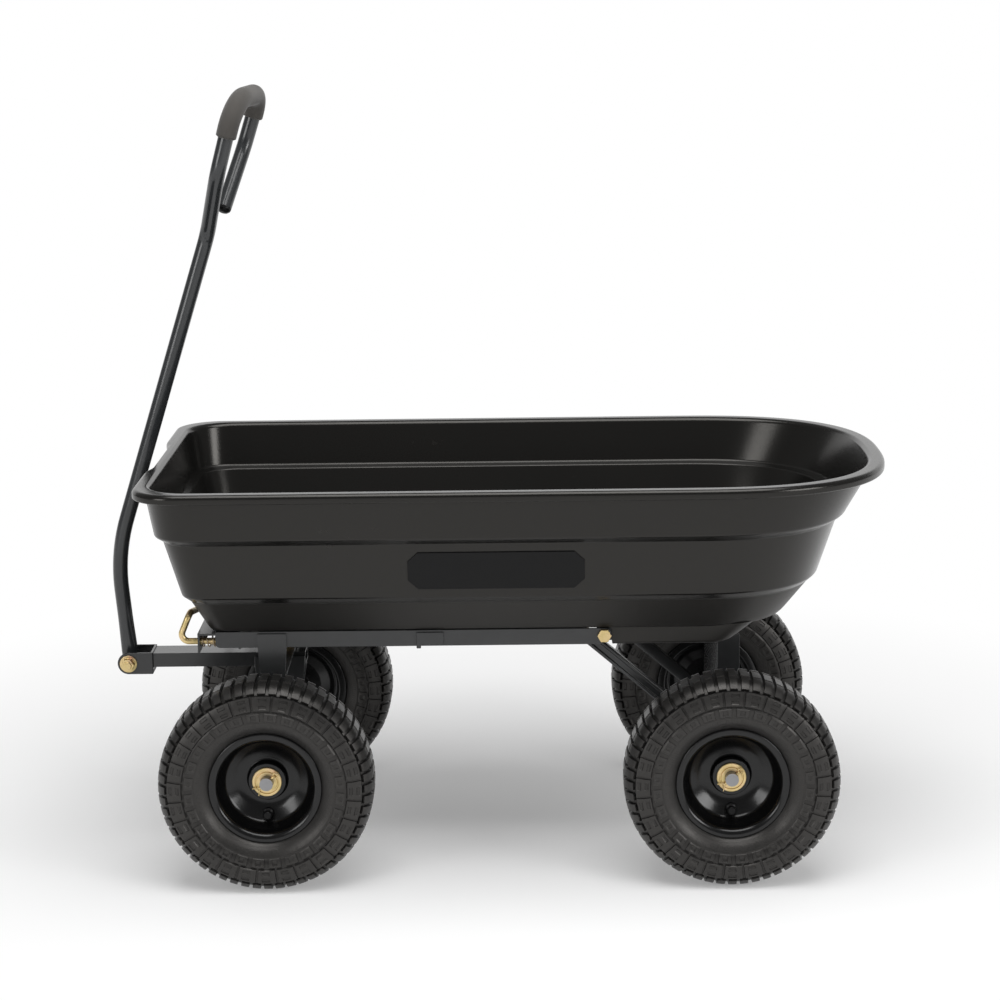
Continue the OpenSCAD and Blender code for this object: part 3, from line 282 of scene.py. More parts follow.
def tyre_rubber():
    """Black rubber: its own tone on the blocks and much darker in the grooves as painted shade, with fine
    moulded ribs on the side.

    The map's u counts tread pitches round the tyre and v goes from the crown (0) to the bead (1)."""
    f = Finish("tyre_rubber", specular_ior_level=0.52, specular_tint=(1.0, 0.96, 0.92, 1.0))
    u, v = f.map("u"), f.map("v")
    block = f.mark("block")
    wear = f.noise(70.0, 4.0, 0.65)
    dust = f.noise(16.0, 4.0, 0.6)
    # Painted shade: where the block height falls to 0 in the grooves, the colour drops to about a fifth of
    # the blocks' tone.
    tone = f.mix(block, (0.0022, 0.0022, 0.0024), (0.0112, 0.0109, 0.0106))
    f.set(base_color=f.mix(dust * 0.4 + wear * 0.2, tone, (0.0200, 0.0192, 0.0184)))
    f.set(roughness=0.24 + wear * 0.18 + dust * 0.12)
    ribs = (u * 6.0).fraction().over(0.5) * v.near(0.785, 0.03)
    rings = v.near(0.735, 0.005) + v.near(0.86, 0.006)
    nubs = u.fraction().near(0.3, 0.035) * v.near(0.765, 0.008)
    f.relief(rings * 0.7 + ribs * 0.45 + nubs + f.noise(700.0, 2.0) * 0.12 + wear * 0.5, 0.0008)
    return f


SLOTS = {
    "tub_plastic": moulded_plastic(),
    "frame_steel": charcoal_coat(),
    "handle_paint": handle_coat(),
    "zinc_gold": yellow_zinc(),
    "axle_steel": bare_steel("axle_steel", (0.36, 0.36, 0.37)),
    "spring_steel": bare_steel("spring_wire", (0.42, 0.33, 0.22)),
    "rim_black": gloss_black(),
    "trim_black": satin_black(),
    "grip_foam": soft_foam(),
    "tyre_rubber": tyre_rubber(),
}


# Making pieces


def grid(rows, cols, round_rows=False, round_cols=False):
    """Quads between neighbours on a rows by cols grid of points, closed either way round where asked."""
    i = np.arange(rows if round_rows else rows - 1)[:, None]
    j = np.arange(cols if round_cols else cols - 1)[None, :]
    i2, j2 = (i + 1) % rows, (j + 1) % cols
    return np.stack([i * cols + j + 0 * j2, i * cols + j2, i2 * cols + j2, i2 * cols + j], -1).reshape(-1, 4)


def piece(name, points, faces, body, slot, stands_for, crease=None):
    """Puts millimetre points and faces into a mesh at the part's origin, on a body, with its slot's finish.
    Edges that turn by more than the crease, in degrees, are sharp."""
    mesh = bpy.data.meshes.new(name)
    mesh.from_pydata(((points.reshape(-1, 3) + SHIFT) * MM).tolist(), [], faces)
    mesh.update()
    mesh.polygons.foreach_set("use_smooth", np.ones(len(mesh.polygons), bool))
    if crease is not None:
        mesh.set_sharp_from_angle(angle=math.radians(crease))
    return dress(bpy.data.objects.new(name, mesh), body, slot, stands_for)


def dress(obj, body, slot, stands_for):
    """Links an object, gives it its slot's finish, puts it on a body and hides the solids it stands for."""
    bpy.context.scene.collection.objects.link(obj)
    obj.data.materials.clear()
    obj.data.materials.append(SLOTS[slot].material)
    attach(obj, body)
    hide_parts(*stands_for)
    return obj


def turned(profile, sides, centre, outward):
    """A closed profile of (radius, reach) carried round an axle: x = r cos a, z = r sin a and y = the reach
    towards the wheel's outer side."""
    a = np.linspace(0, 2 * np.pi, sides, endpoint=False)[:, None]
    r, reach = profile[:, 0][None, :], profile[:, 1][None, :]
    points = np.stack([r * np.cos(a), outward * reach + 0 * a, r * np.sin(a)], -1) + np.array(centre)
    faces = grid(sides, len(profile), True, True)
    return points, faces if outward < 0 else faces[:, ::-1]


STRAIGHT = 1e-6


def rounded(points, radii, steps):
    """A route through points. Each corner is an arc of radius r that meets the straights r tan(turn / 2) away
    from it."""
    points = [np.array(p, float) for p in points]
    route = [points[0][None]]
    for before, corner, after, r in zip(points, points[1:], points[2:], radii):
        go, leave = corner - before, after - corner
        go, leave = go / np.linalg.norm(go), leave / np.linalg.norm(leave)
        turn = math.acos(float(np.clip(go @ leave, -1, 1)))
        inward = leave - go * (go @ leave)
        length = np.linalg.norm(inward)
        if length < STRAIGHT:
            route.append(corner[None])
            continue
        inward = inward / length
        t = np.linspace(0, turn, steps)[:, None]
        middle = corner - go * r * math.tan(turn / 2) + inward * r
        route.append(middle + r * (go * np.sin(t) - inward * np.cos(t)))
    return np.concatenate(route + [points[-1][None]])


def spaced(route, step):
    """The route with further points, so that none lie more than a step apart."""
    length = np.concatenate([[0], np.cumsum(np.linalg.norm(np.diff(route, axis=0), axis=1))])
    extra = np.arange(0, length[-1], step)
    at = np.unique(np.round(np.concatenate([length, extra]), 4))
    return np.stack([np.interp(at, length, route[:, k]) for k in range(3)], 1), at


def carried(route, section, guide):
    """A section (stations, sides, 2) carried along a route: its axes are the guide, squared to the way, and
    the cross product of the way and that axis."""
    way = np.gradient(route, axis=0)
    way /= np.linalg.norm(way, axis=1)[:, None]
    guide = np.array(guide, float)
    first = guide - way * (way @ guide)[:, None]
    first /= np.linalg.norm(first, axis=1)[:, None]
    second = np.cross(way, first)
    points = route[:, None] + section[..., :1] * first[:, None] + section[..., 1:] * second[:, None]
    rows, cols = section.shape[:2]
    ends = [list(range(cols - 1, -1, -1)), list(range((rows - 1) * cols, rows * cols))]
    return points, grid(rows, cols, False, True).tolist() + ends


def circle(sides):
    """Points of the unit circle: cos a and sin a."""
    a = np.linspace(0, 2 * np.pi, sides, endpoint=False)
    return np.stack([np.cos(a), np.sin(a)], -1)


MERGE = 1e-6
FLAT_DEG, CREASE_DEG, BEVEL_DEG, BEVEL_STEPS = 0.5, 28, 35, 2


def eased(node, body, slot, width):
    """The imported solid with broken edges: a merged copy of its mesh with a narrow bevel on the sharp
    edges."""
    mesh = NODES[node].data.copy()
    mesh.name = node + "_eased"
    b = bmesh.new()
    b.from_mesh(mesh)
    bmesh.ops.remove_doubles(b, verts=b.verts, dist=MERGE)
    bmesh.ops.dissolve_limit(b, angle_limit=math.radians(FLAT_DEG), verts=b.verts, edges=b.edges)
    b.to_mesh(mesh)
    b.free()
    mesh.polygons.foreach_set("use_smooth", np.ones(len(mesh.polygons), bool))
    mesh.set_sharp_from_angle(angle=math.radians(CREASE_DEG))
    obj = bpy.data.objects.new(node + "_eased", mesh)
    dress(obj, body, slot, (node,))
    bevel = obj.modifiers.new("edges", "BEVEL")
    bevel.width = width * MM
    bevel.segments = BEVEL_STEPS
    bevel.limit_method = "ANGLE"
    bevel.angle_limit = math.radians(BEVEL_DEG)
    bevel.harden_normals = True


# Tub

TUB_FRONT, TUB_REAR, TUB_HALF, RIM_Z, FLOOR_Z, WALL = -431.0, 482.0, 254.0, 490.0, 303.0, 4.0
REAR_REACH, REAR_POWER, REAR_RAKE, CORNER = 250.0, 2.6, 42.0, 55.0
LIP_W, LIP_H, SCOOP, SCOOP_W = 16.0, 11.5, 7.0, 140.0
RAKE_DEPTHS = [0, .15, .32, .48, .72, .84, .92, 1]
RAKE_SHARES = [0, .41, .53, .61, .58, .54, .68, .78]
CORNER_SHARES = [1, .4]
FRONT_LEAN = 0.9
FRONT_STEPS, CORNER_STEPS, SIDE_STEPS, REAR_STEPS, ARC_STEPS = 48, 14, 24, 96, 9

# Half section as (inset from the rim, height): the outer wall, and insets along the rolled edge and the floor
OUTER_WALL = [(24.9, 429.4), (34.6, 421.8), (56.0, 351.6), (66.2, 342.6), (85.6, 309.2), (89.5, FLOOR_Z)]
OUTER_RADII = [3.0, 7.0, 2.5, 7.0, 2.5, 9.0, 5.0]
INNER_RADII = [8.0, 9.0, 2.5, 4.0, 2.5, 4.0, 6.5]
LEDGE_LIFTS = [0, 4.8, 0, 5.2, 0, 0]
EDGE_RADII = [5.2, 2.2, 1.9]
EDGE_TOP, EDGE_FOOT, EDGE_BACK, OUTER_TOP, INNER_TOP, FLOOR_INSET = 6.0, 4.6, 4.9, 13.6, 20.4, 104.0


def tub_rings(inset, z):
    """Outlines of the tub, one for each inset and height.

    Each has a front with a shallow hollow, quarter-round corners that tighten towards the floor, straight
    sides and a rear end x = reach |cos a| ^ (2 / p), y = half sin a ^ (2 / p), whose reach is drawn in
    towards the floor by a table of shares."""
    inset, z = inset[:, None], z[:, None]
    half, front = TUB_HALF - inset, TUB_FRONT + inset * FRONT_LEAN
    start = TUB_REAR - REAR_REACH
    deep = np.clip((RIM_Z - LIP_H - z) / (RIM_Z - LIP_H - FLOOR_Z), 0, 1)
    reach = REAR_REACH - inset - REAR_RAKE * np.interp(deep, RAKE_DEPTHS, RAKE_SHARES)
    corner = CORNER * np.interp(deep, [0, 1], CORNER_SHARES)
    flat = half - corner
    s = np.linspace(1, -1, FRONT_STEPS + 1)[None, :-1]
    y = s * flat
    t = np.clip((np.abs(y) - SCOOP_W / 2) / (SCOOP_W / 4), 0, 1)
    hollow = SCOOP * (1 + np.cos(np.pi * t)) / 2 * np.clip(1 - inset / LIP_W, 0, 1)
    a = np.linspace(0, np.pi / 2, CORNER_STEPS + 1)[None, :-1]
    near = np.stack([front + corner * (1 - np.cos(a)), -flat - corner * np.sin(a)], -1)
    straight = np.linspace(0, 1, SIDE_STEPS + 1)[None, :-1]
    near_side = np.stack([(front + corner) * (1 - straight) + start * straight, -half + 0 * straight], -1)
    r = np.linspace(-np.pi / 2, np.pi / 2, REAR_STEPS + 1)[None, :-1]
    p = 2 / REAR_POWER
    across = np.sign(np.sin(r)) * np.abs(np.sin(r)) ** p
    rear = np.stack([start + reach * np.abs(np.cos(r)) ** p, half * across], -1)
    far_side = np.stack([start * (1 - straight) + (front + corner) * straight, half + 0 * straight], -1)
    b = np.linspace(np.pi / 2, 0, CORNER_STEPS + 1)[None, :-1]
    far = np.stack([front + corner * (1 - np.cos(b)), flat + corner * np.sin(b)], -1)
    plan = np.concatenate([np.stack([front + hollow, y], -1), near, near_side, rear, far_side, far], 1)
    return np.concatenate([plan, np.broadcast_to(z[..., None], plan.shape[:2] + (1,))], -1)


def tub_profile():
    """Half section from inside the floor, up the stepped wall, over the rolled edge and down the outside."""
    under, foot = RIM_Z - WALL, RIM_Z - LIP_H
    outside = [(EDGE_BACK, under), (OUTER_TOP, under)] + OUTER_WALL + [(FLOOR_INSET, FLOOR_Z)]
    lifted = [(x + WALL, z + WALL + up) for (x, z), up in zip(OUTER_WALL, LEDGE_LIFTS)][::-1]
    inside = [(FLOOR_INSET + WALL, FLOOR_Z + WALL)] + lifted + [(INNER_TOP, RIM_Z), (EDGE_TOP, RIM_Z)]
    edge = [(EDGE_TOP, RIM_Z), (0, RIM_Z), (0, foot), (EDGE_FOOT, foot), (EDGE_BACK, under)]
    inside = rounded(inside, INNER_RADII, ARC_STEPS)
    edge = rounded(edge, EDGE_RADII, ARC_STEPS)
    outside = rounded(outside, OUTER_RADII, ARC_STEPS)
    return np.concatenate([inside, edge[1:], outside[1:]])


def make_tub():
    """The tub's shell: an outline of the tub at each point of the half section, closed by two floors."""
    profile = tub_profile()
    points = tub_rings(profile[:, 0], profile[:, 1])
    rows, cols = points.shape[:2]
    faces = grid(rows, cols, False, True)[:, ::-1].tolist()
    floor = list(range(cols))
    under = list(range((rows - 1) * cols, rows * cols))[::-1]
    piece("tub_shell", points, faces + [floor, under], "tub", "tub_plastic", ("tub",))


WELL_FRONT, WELL_TURN, WELL_FOOT, WELL_TIP, WELL_Z, WELL_HALF = 138.8, 232.0, 290.8, 323.05, 281.5, 162.0
WELL_EDGE, WELL_SUNK, WELL_POWER, WELL_FRONT_SHARE, WELL_STEPS = 4.0, 2.0, 5, 0.4, 64


def make_well():
    """The well under the rear of the floor.

    Each level is straight in front and at the sides, with a rear end x = turn + reach |cos a| ^ (2 / p),
    y = half sin a ^ (2 / p), whose reach shrinks down a slope to the foot. The lower edge is a quarter
    round, and the top is sunk into the floor."""
    turn = np.linspace(0, np.pi / 2, ARC_STEPS)
    z = np.concatenate([[FLOOR_Z + WELL_SUNK, FLOOR_Z], WELL_Z + WELL_EDGE * (1 - np.sin(turn))])[:, None]
    inward = np.concatenate([[0, 0], WELL_EDGE * (1 - np.cos(turn))])[:, None]
    slope = (WELL_TIP - WELL_FOOT) / (FLOOR_Z - WELL_Z)
    half, reach = WELL_HALF - inward, WELL_FOOT - WELL_TURN + slope * (z - WELL_Z) - inward
    a = np.linspace(-np.pi / 2, np.pi / 2, WELL_STEPS + 1)[None]
    power = 2 / WELL_POWER
    rear_x = WELL_TURN + reach * np.abs(np.cos(a)) ** power
    rear_y = half * np.sign(np.sin(a)) * np.abs(np.sin(a)) ** power
    front_x = WELL_FRONT + inward * WELL_FRONT_SHARE
    x = np.concatenate([front_x, rear_x, front_x], 1)
    y = np.concatenate([-half, rear_y, half], 1)
    points = np.stack([x, y, z + 0 * x], -1)
    rows, cols = x.shape
    faces = grid(rows, cols, False, True)[:, ::-1].tolist()
    lid = list(range(cols))
    under = list(range((rows - 1) * cols, rows * cols))[::-1]
    piece("well_shell", points, faces + [lid, under], "tub", "tub_plastic", ("rear_well",), crease=40)


make_tub()
make_well()


# Wheels

TYRE_R, LIP_R, TYRE_HALF = 130.0, 69.7, 42.0

# Half section from the crown to the bead, as shares of the half width and of the height above the rim's lip
TYRE_SHARES = np.array([
    (0, 1), (.2, 1), (.42, .995), (.6, .968), (.76, .905), (.9, .79), (.98, .63), (1, .47), (.98, .33),
    (.88, .155), (.745, .035), (.665, -.02), (.65, -.08), (.65, -.157),
])
CURVE_STEPS = 600

# The tyre's lining: its depth under the tread, its limits as (reach, radius), and one point kept of so many
LINING, LINING_LOW, LINING_HIGH, LINING_STRIDE = 7.0, [-35, 61.2], [35, 200], 8

# Tread: pitches round the tyre, where the first one starts, and the places along a pitch and down the half
# section where blocks and grooves begin and end
PITCHES, PHASE = 28, 0.1825
PITCH_MARKS = np.array([
    0, .067, .135, .155, .17, .19, .255, .275, .32, .365, .385, .445, .465, .48,
    .5, .567, .587, .635, .655, .67, .69, .755, .82, .885, .945, .965, .98,
])
ROW_MARKS = np.array([
    0, .06, .118, .13, .15, .162, .21, .26, .31, .345, .373, .385, .4, .412, .43, .44, .465, .475, .495,
    .515, .525, .55, .56, .578, .59, .605, .617, .63, .642, .66, .683, .695, .708, .72, .735, .75, .765,
    .78, .8, .82, .84, .86, .88, .895, .905, .92, .94, .96, .98, 1.0,
])
GROOVE_ROWS, GROOVE_DEPTHS = [.385, .4, .59, .605], [3.4, 1.7, 1.7, 1.1]


def spline(points, count):
    """A smooth curve through points: each span is the cubic with its neighbours' slopes."""
    p = np.concatenate([2 * points[:1] - points[1:2], points, 2 * points[-1:] - points[-2:-1]])
    t = np.linspace(0, len(points) - 1, count)
    i = np.minimum(t.astype(int), len(points) - 2)
    f = (t - i)[:, None]
    a, b, c, d = p[i], p[i + 1], p[i + 2], p[i + 3]
    return b + 0.5 * f * (c - a + f * (2 * a - 5 * b + 4 * c - d + f * (3 * (b - c) + d - a)))


def tyre_half():
    """Half section from the crown to the bead as (reach, radius), with points at the row marks along it."""
    size = np.array([TYRE_HALF, TYRE_R - LIP_R])
    curve = spline(TYRE_SHARES, CURVE_STEPS) * size + np.array([0, LIP_R])
    length = np.concatenate([[0], np.cumsum(np.linalg.norm(np.diff(curve, axis=0), axis=1))])
    at = ROW_MARKS * length[-1]
    return np.stack([np.interp(at, length, curve[:, k]) for k in range(2)], 1)


def ramp(value, low, high):
    """0 below low, 1 above high and an even slope between."""
    return np.clip((value - low) / (high - low), 0, 1)


def between(value, low, high, soft):
    """1 from low to high, with slopes of width soft inside both ends."""
    return ramp(value, low, low + soft) * (1 - ramp(value, high - soft, high))


def tread(u, v):
    """Height of the tread, 0 in the grooves and 1 on the blocks, at u pitches round and v of the way down.

    There are crown lugs parted by a ring on each side, a row of large blocks with two slots each, a row of
    small blocks with square pits, and the plain side under them."""
    frac = u % 1
    lug = np.maximum(between(frac, .135, .5, .02), between(frac, .635, 1.0, .02))
    crown = between(v, -1, .13, .012) + between(v, .15, .385, .012)
    slots = between(frac, .567, .965, .02) * (between(v, .43, .475, .01) + between(v, .515, .56, .01))
    large = between(v, .4, .59, .012) * (1 - between(frac, .255, .385, .02)) * (1 - .6 * slots)
    pit = between(frac, .17, .465, .02) * between(v, .63, .695, .012)
    small = between(v, .605, .72, .012) * (1 - between(frac, .67, .965, .02)) * (1 - .8 * pit)
    return np.maximum(np.maximum(crown * lug, large), np.maximum(small, ramp(v, .708, .735)))


def tyre_shape():
    """Points of a tyre about its own axle, with the map's (u, v) and the block height of each point.

    The section is carried round in steps that fall on the edges of the tread blocks: x = r cos a and
    z = r sin a. Each point sinks along the section's normal by the groove's depth, which lessens from the
    crown down."""
    half = tyre_half()
    section = np.concatenate([half[::-1] * np.array([-1, 1]), half[1:]])
    v = np.concatenate([ROW_MARKS[::-1], ROW_MARKS[1:]])
    tangent = np.gradient(section, axis=0)
    normal = np.stack([-tangent[:, 1], tangent[:, 0]], 1) / np.linalg.norm(tangent, axis=1)[:, None]
    u = (np.arange(PITCHES)[:, None] + PITCH_MARKS[None]).reshape(-1)
    height = tread(u[:, None], v[None])
    depth = np.interp(v, GROOVE_ROWS, GROOVE_DEPTHS)[None]
    sunk = section[None] - normal[None] * ((1 - height) * depth)[..., None]
    a = (2 * np.pi * (u + PHASE) / PITCHES)[:, None]
    outer = np.stack([sunk[..., 1] * np.cos(a), sunk[..., 0], sunk[..., 1] * np.sin(a)], -1)
    inner = np.clip(section[::-1] - LINING * normal[::-1], LINING_LOW, LINING_HIGH)
    inner = inner[::LINING_STRIDE] + 0 * a[..., None]
    lining = np.stack([inner[..., 1] * np.cos(a), inner[..., 0], inner[..., 1] * np.sin(a)], -1)
    points = np.concatenate([outer, lining], 1)
    marks = np.concatenate([height, np.ones(lining.shape[:2])], 1)
    across = np.concatenate([v, np.ones(lining.shape[1])])
    uv = np.stack(np.broadcast_arrays(u[:, None], across[None]), -1)
    return points, uv, marks


def make_tyre(wheel):
    """One wheel's tyre, with its map and its block heights."""
    x, y, body = WHEELS[wheel]
    points, uv, marks = tyre_shape()
    rows, cols = marks.shape
    faces = grid(rows, cols, True, True)
    points = points + np.array([x, y, AXLE_Z])
    solid = "tyre_" + wheel
    made = piece(solid + "_treaded", points, faces.tolist(), body, "tyre_rubber", (solid,), crease=38)
    store(made, faces, uv.reshape(-1, 2), marks.reshape(-1))


def store(obj, faces, uv, marks):
    """Keeps the map at the faces' corners and the block height at the points. The map's u closes at the
    seam."""
    at = uv[faces]
    seam = at[..., 0].max(1) - at[..., 0].min(1) > PITCHES / 2
    at[..., 0] += np.where(seam[:, None] & (at[..., 0] < PITCHES / 2), PITCHES, 0)
    obj.data.uv_layers.new(name="tread_map").data.foreach_set("uv", at.astype(np.float32).ravel())
    blocks = obj.data.attributes.new("block", "FLOAT", "POINT")
    blocks.data.foreach_set("value", marks.astype(np.float32))


# Rim, hub and washer sections as (radius, reach outwards from the wheel's middle), and the corners' radii
RIM_FRONT = [
    (8.1, 2), (22.8, 2), (23.2, -9.6), (34, -9.2), (51.5, 1.6), (56.9, 13), (57.6, 30), (68.5, 30),
    (68.5, 27.4), (60, 27.4), (60, 0),
]
RIM_FRONT_RADII = [1.2, 3.5, 26, 12, 10, 7.5, 2.2, 0.2, 2.4]
RIM_BACK = [
    (60, 0), (60, -27.4), (68.5, -27.4), (68.5, -30), (57.5, -30), (56.4, -3), (45, -8.6), (33, -12.2),
    (16.1, -12.6), (16.1, -32), (8.1, -32),
]
RIM_BACK_RADII = [2.4, 1.2, 1.2, 3, 5, 14, 10, 2, 1.5]
WASHER = np.array([
    (8.2, 4.8), (12.4, 4.8), (12.9, 3.4), (14.2, 3.4), (14.7, 4.8), (17.4, 4.8), (18, 4.2), (18, 2.3),
    (8.2, 2.3),
])
FRONT_ARC_STEPS, BACK_ARC_STEPS, RIM_SIDES, WASHER_SIDES = 9, 7, 96, 64


def rim_profile():
    """Closed section of a pressed rim and its hub: the hub's boss, a deep bowl, rolled lips, the seat of the
    tyre, the back of the bowl and the hub's inner barrel."""
    front = rounded(RIM_FRONT, RIM_FRONT_RADII, FRONT_ARC_STEPS)
    back = rounded(RIM_BACK, RIM_BACK_RADII, BACK_ARC_STEPS)
    return np.concatenate([front, back[1:]])


def make_rim(wheel):
    """One wheel's rim and hub, turned from their section."""
    x, y, body = WHEELS[wheel]
    points, faces = turned(rim_profile(), RIM_SIDES, (x, y, AXLE_Z), math.copysign(1, y))
    solids = ("rim_" + wheel, "hub_" + wheel)
    piece("rim_" + wheel + "_pressed", points, faces.tolist(), body, "rim_black", solids, crease=40)


def make_washers(axle, body):
    """Gold washers with a ring pressed into the outer face, one for each wheel of an axle."""
    places = [(x, y, AXLE_Z) for wheel, (x, y, _) in WHEELS.items() if wheel.startswith(axle)]
    made = [turned(WASHER, WASHER_SIDES, place, math.copysign(1, place[1])) for place in places]
    points = np.concatenate([p.reshape(-1, 3) for p, _ in made])
    count = len(points) // len(made)
    faces = np.concatenate([f + k * count for k, (_, f) in enumerate(made)])
    solid = axle + "_washers"
    piece(solid + "_pressed", points, faces.tolist(), body, "zinc_gold", (solid,), crease=30)


for name in WHEELS:
    make_tyre(name)
    make_rim(name)
make_washers("front", "steering")
make_washers("rear", "tub")


# Handle

PIVOT, BEND = np.array([-472.952, 0, 225.0]), np.array([-484.708, 0, 365.007])
SHAFT_UP, SHAFT_BACK = np.array([.305695, 0, .952129]), np.array([.952129, 0, -.305695])
SHAFT_L, LOOP_H, LOOP_W, HANDLE_R = 425.0, 181.0, 100.0, 9.5
FAR_SET, NEAR_SET = 10.0, 8.0
LOW_BEND_R, BEND_R, NEAR_R, FAR_R = 240.0, 57.0, 39.9, 26.6
BEND_STEPS, TUBE_STEP, TUBE_SIDES = 14, 3.0, 48

# The tube's flat foot: where it ends along the tube, and how much wider and thinner it is
FLAT_FROM, FLAT_TO, FLAT_WIDER, FLAT_THINNER = 6, 60, .1, .3

# The pressed groove: its ends from the fork, the run of its ends, half its angle, its roundness and its depth
GROOVE_FROM, GROOVE_TO, GROOVE_RUN, GROOVE_ANGLE, GROOVE_POWER, GROOVE_DEPTH = -4, 96, 12, .5, 1.5, .26

# The grip: its steps, bore, foam, swell, ripple and rounded ends, and its legs as shares of the bends' radii
GRIP_BEND_STEPS, GRIP_STEP, GRIP_SIDES = 20, 1.5, 40
GRIP_BORE, GRIP_FOAM, GRIP_SWELL, GRIP_RIPPLE, GRIP_END = 10.2, 2.3, .35, .12, 2.2
GRIP_NEAR_LEG, GRIP_FAR_LEG = 1.19, 1.2


def on_shaft(up, back, y):
    """The point so far up the shaft from its lower bend, behind it and to its right."""
    return BEND + SHAFT_UP * up + SHAFT_BACK * back + np.array([0, y, 0])


NEAR_FOOT = on_shaft(SHAFT_L + LOOP_H * .44, -NEAR_SET / 2, -LOOP_W / 2)
NEAR_CORNER = on_shaft(SHAFT_L + LOOP_H * .95, -NEAR_SET, -LOOP_W / 2)
FAR_CORNER = on_shaft(SHAFT_L + LOOP_H, FAR_SET, LOOP_W / 2)
FAR_FOOT = on_shaft(SHAFT_L + LOOP_H * .62, FAR_SET, LOOP_W / 2)
TAIL = on_shaft(SHAFT_L + LOOP_H * .2, FAR_SET, LOOP_W / 12)
FORK = on_shaft(SHAFT_L, 0, 0)


def make_handle():
    """A round tube along the handle's route, squeezed flat at the pivot, with a long groove pressed into its
    near side from the fork of the loop up the near leg."""
    corners = [PIVOT, BEND, FORK, NEAR_FOOT, NEAR_CORNER, FAR_CORNER, FAR_FOOT, TAIL]
    bends = [LOW_BEND_R, BEND_R, BEND_R, NEAR_R, FAR_R, BEND_R]
    route, at = spaced(rounded(corners, bends, BEND_STEPS), TUBE_STEP)
    ring = circle(TUBE_SIDES)
    flat = 1 - ramp(at, FLAT_FROM, FLAT_TO)
    flat = flat * flat * (3 - 2 * flat)
    size = HANDLE_R * np.stack([1 + FLAT_WIDER * flat, 1 - FLAT_THINNER * flat], -1)[:, None]
    fork = at[np.argmin(np.linalg.norm(route - FORK, axis=1))]
    long = between(at, fork + GROOVE_FROM, fork + GROOVE_TO, GROOVE_RUN)[:, None]
    facing = np.abs(np.arctan2(ring[:, 1], ring[:, 0]) + np.pi / 2)
    groove = long * np.clip(1 - (facing / GROOVE_ANGLE) ** 2, 0, 1)[None] ** GROOVE_POWER
    points, faces = carried(route, ring[None] * size * (1 - GROOVE_DEPTH * groove)[..., None], SHAFT_BACK)
    piece("handle_bar", points, faces, "handle", "handle_paint", ("handle_tube",), crease=50)


def make_grip():
    """Foam sleeve over the loop's top: a round tube that swells a little between its rounded ends."""
    leg = (NEAR_CORNER - NEAR_FOOT) / np.linalg.norm(NEAR_CORNER - NEAR_FOOT)
    near_end = NEAR_CORNER - leg * NEAR_R * GRIP_NEAR_LEG
    far_end = FAR_CORNER - SHAFT_UP * FAR_R * GRIP_FAR_LEG
    corners = [near_end, NEAR_CORNER, FAR_CORNER, far_end]
    route, at = spaced(rounded(corners, [NEAR_R, FAR_R], GRIP_BEND_STEPS), GRIP_STEP)
    s = at / at[-1]
    end = np.minimum(np.minimum(at, at[-1] - at) / GRIP_END, 1)
    lip = np.sqrt(np.clip(1 - (1 - end) ** 2, 0, 1))
    swell = GRIP_SWELL * np.sin(np.pi * s) + GRIP_RIPPLE * np.sin(9 * s + 1)
    radius = GRIP_BORE + (GRIP_FOAM + swell) * lip
    points, faces = carried(route, circle(GRIP_SIDES)[None] * radius[:, None, None], SHAFT_BACK)
    grip = piece("grip_sleeve", points, faces, "handle", "grip_foam", ("foam_grip",), crease=60)


make_handle()
make_grip()


# Latch

LATCH_Y, LATCH_Z, LATCH_R = -152.0, 288.5, 4
CROSSBAR_X, STRIKE_X, PIN_GAP = -365.0, -302.7, .5
RISER_X, PULL_X, PULL_Z, PULL_ACROSS, PULL_DROP = -389.5, -374.38, 324.5, 62, -12
LATCH_BEND_R, LATCH_BEND_STEPS, LATCH_STEP, LATCH_SIDES = 8.8, 12, 4, 28
LATCH_END, LATCH_END_SHARE = 1.2, .3
CURLS, CURL_STEPS, COIL_R, COIL_L, WIRE_R, WIRE_SIDES = 7, 28, 6.5, 42.0, .8, 10
COIL_SEAT, COIL_PLAY, COIL_CLOSE = CROSSBAR_X + 2.8, .6, .035


def make_latch():
    """The latch rod as one round bar: straight through its guides, a slanted riser and a pull across the
    cart."""
    top = np.array([PULL_X, LATCH_Y, PULL_Z])
    pin, foot = (STRIKE_X - PIN_GAP, LATCH_Y, LATCH_Z), (RISER_X, LATCH_Y, LATCH_Z)
    corners = [pin, foot, top, top + [0, PULL_ACROSS, PULL_DROP]]
    bends = [LATCH_BEND_R, LATCH_BEND_R]
    route, at = spaced(rounded(corners, bends, LATCH_BEND_STEPS), LATCH_STEP)
    end = np.minimum(np.minimum(at, at[-1] - at) / LATCH_END, 1)
    radius = LATCH_R * np.sqrt(np.clip(1 - (1 - end) ** 2, LATCH_END_SHARE, 1))
    points, faces = carried(route, circle(LATCH_SIDES)[None] * radius[:, None, None], (.35, .45, -.82))
    piece("latch_bar", points, faces, "latch", "zinc_gold", ("latch_rod",), crease=50)


def make_spring():
    """Coil of round wire: y and z go round a circle, and x grows with the turns at a pace that a sine
    varies."""
    t = np.linspace(0, CURLS, CURLS * CURL_STEPS + 1)
    share = t / CURLS - COIL_CLOSE * np.sin(4 * np.pi * t / CURLS)
    x = COIL_SEAT + WIRE_R + (COIL_L - COIL_PLAY - 2 * WIRE_R) * share
    turns = 2 * np.pi * t
    route = np.stack([x, LATCH_Y + COIL_R * np.cos(turns), LATCH_Z + COIL_R * np.sin(turns)], 1)
    points, faces = carried(route, circle(WIRE_SIDES)[None] * np.full((len(t), 1, 1), WIRE_R), (1, .02, .02))
    coil = piece("latch_coil", points, faces, "front_frame", "spring_steel", ("latch_spring",), crease=60)
    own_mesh(coil)


make_latch()
make_spring()


# Struts

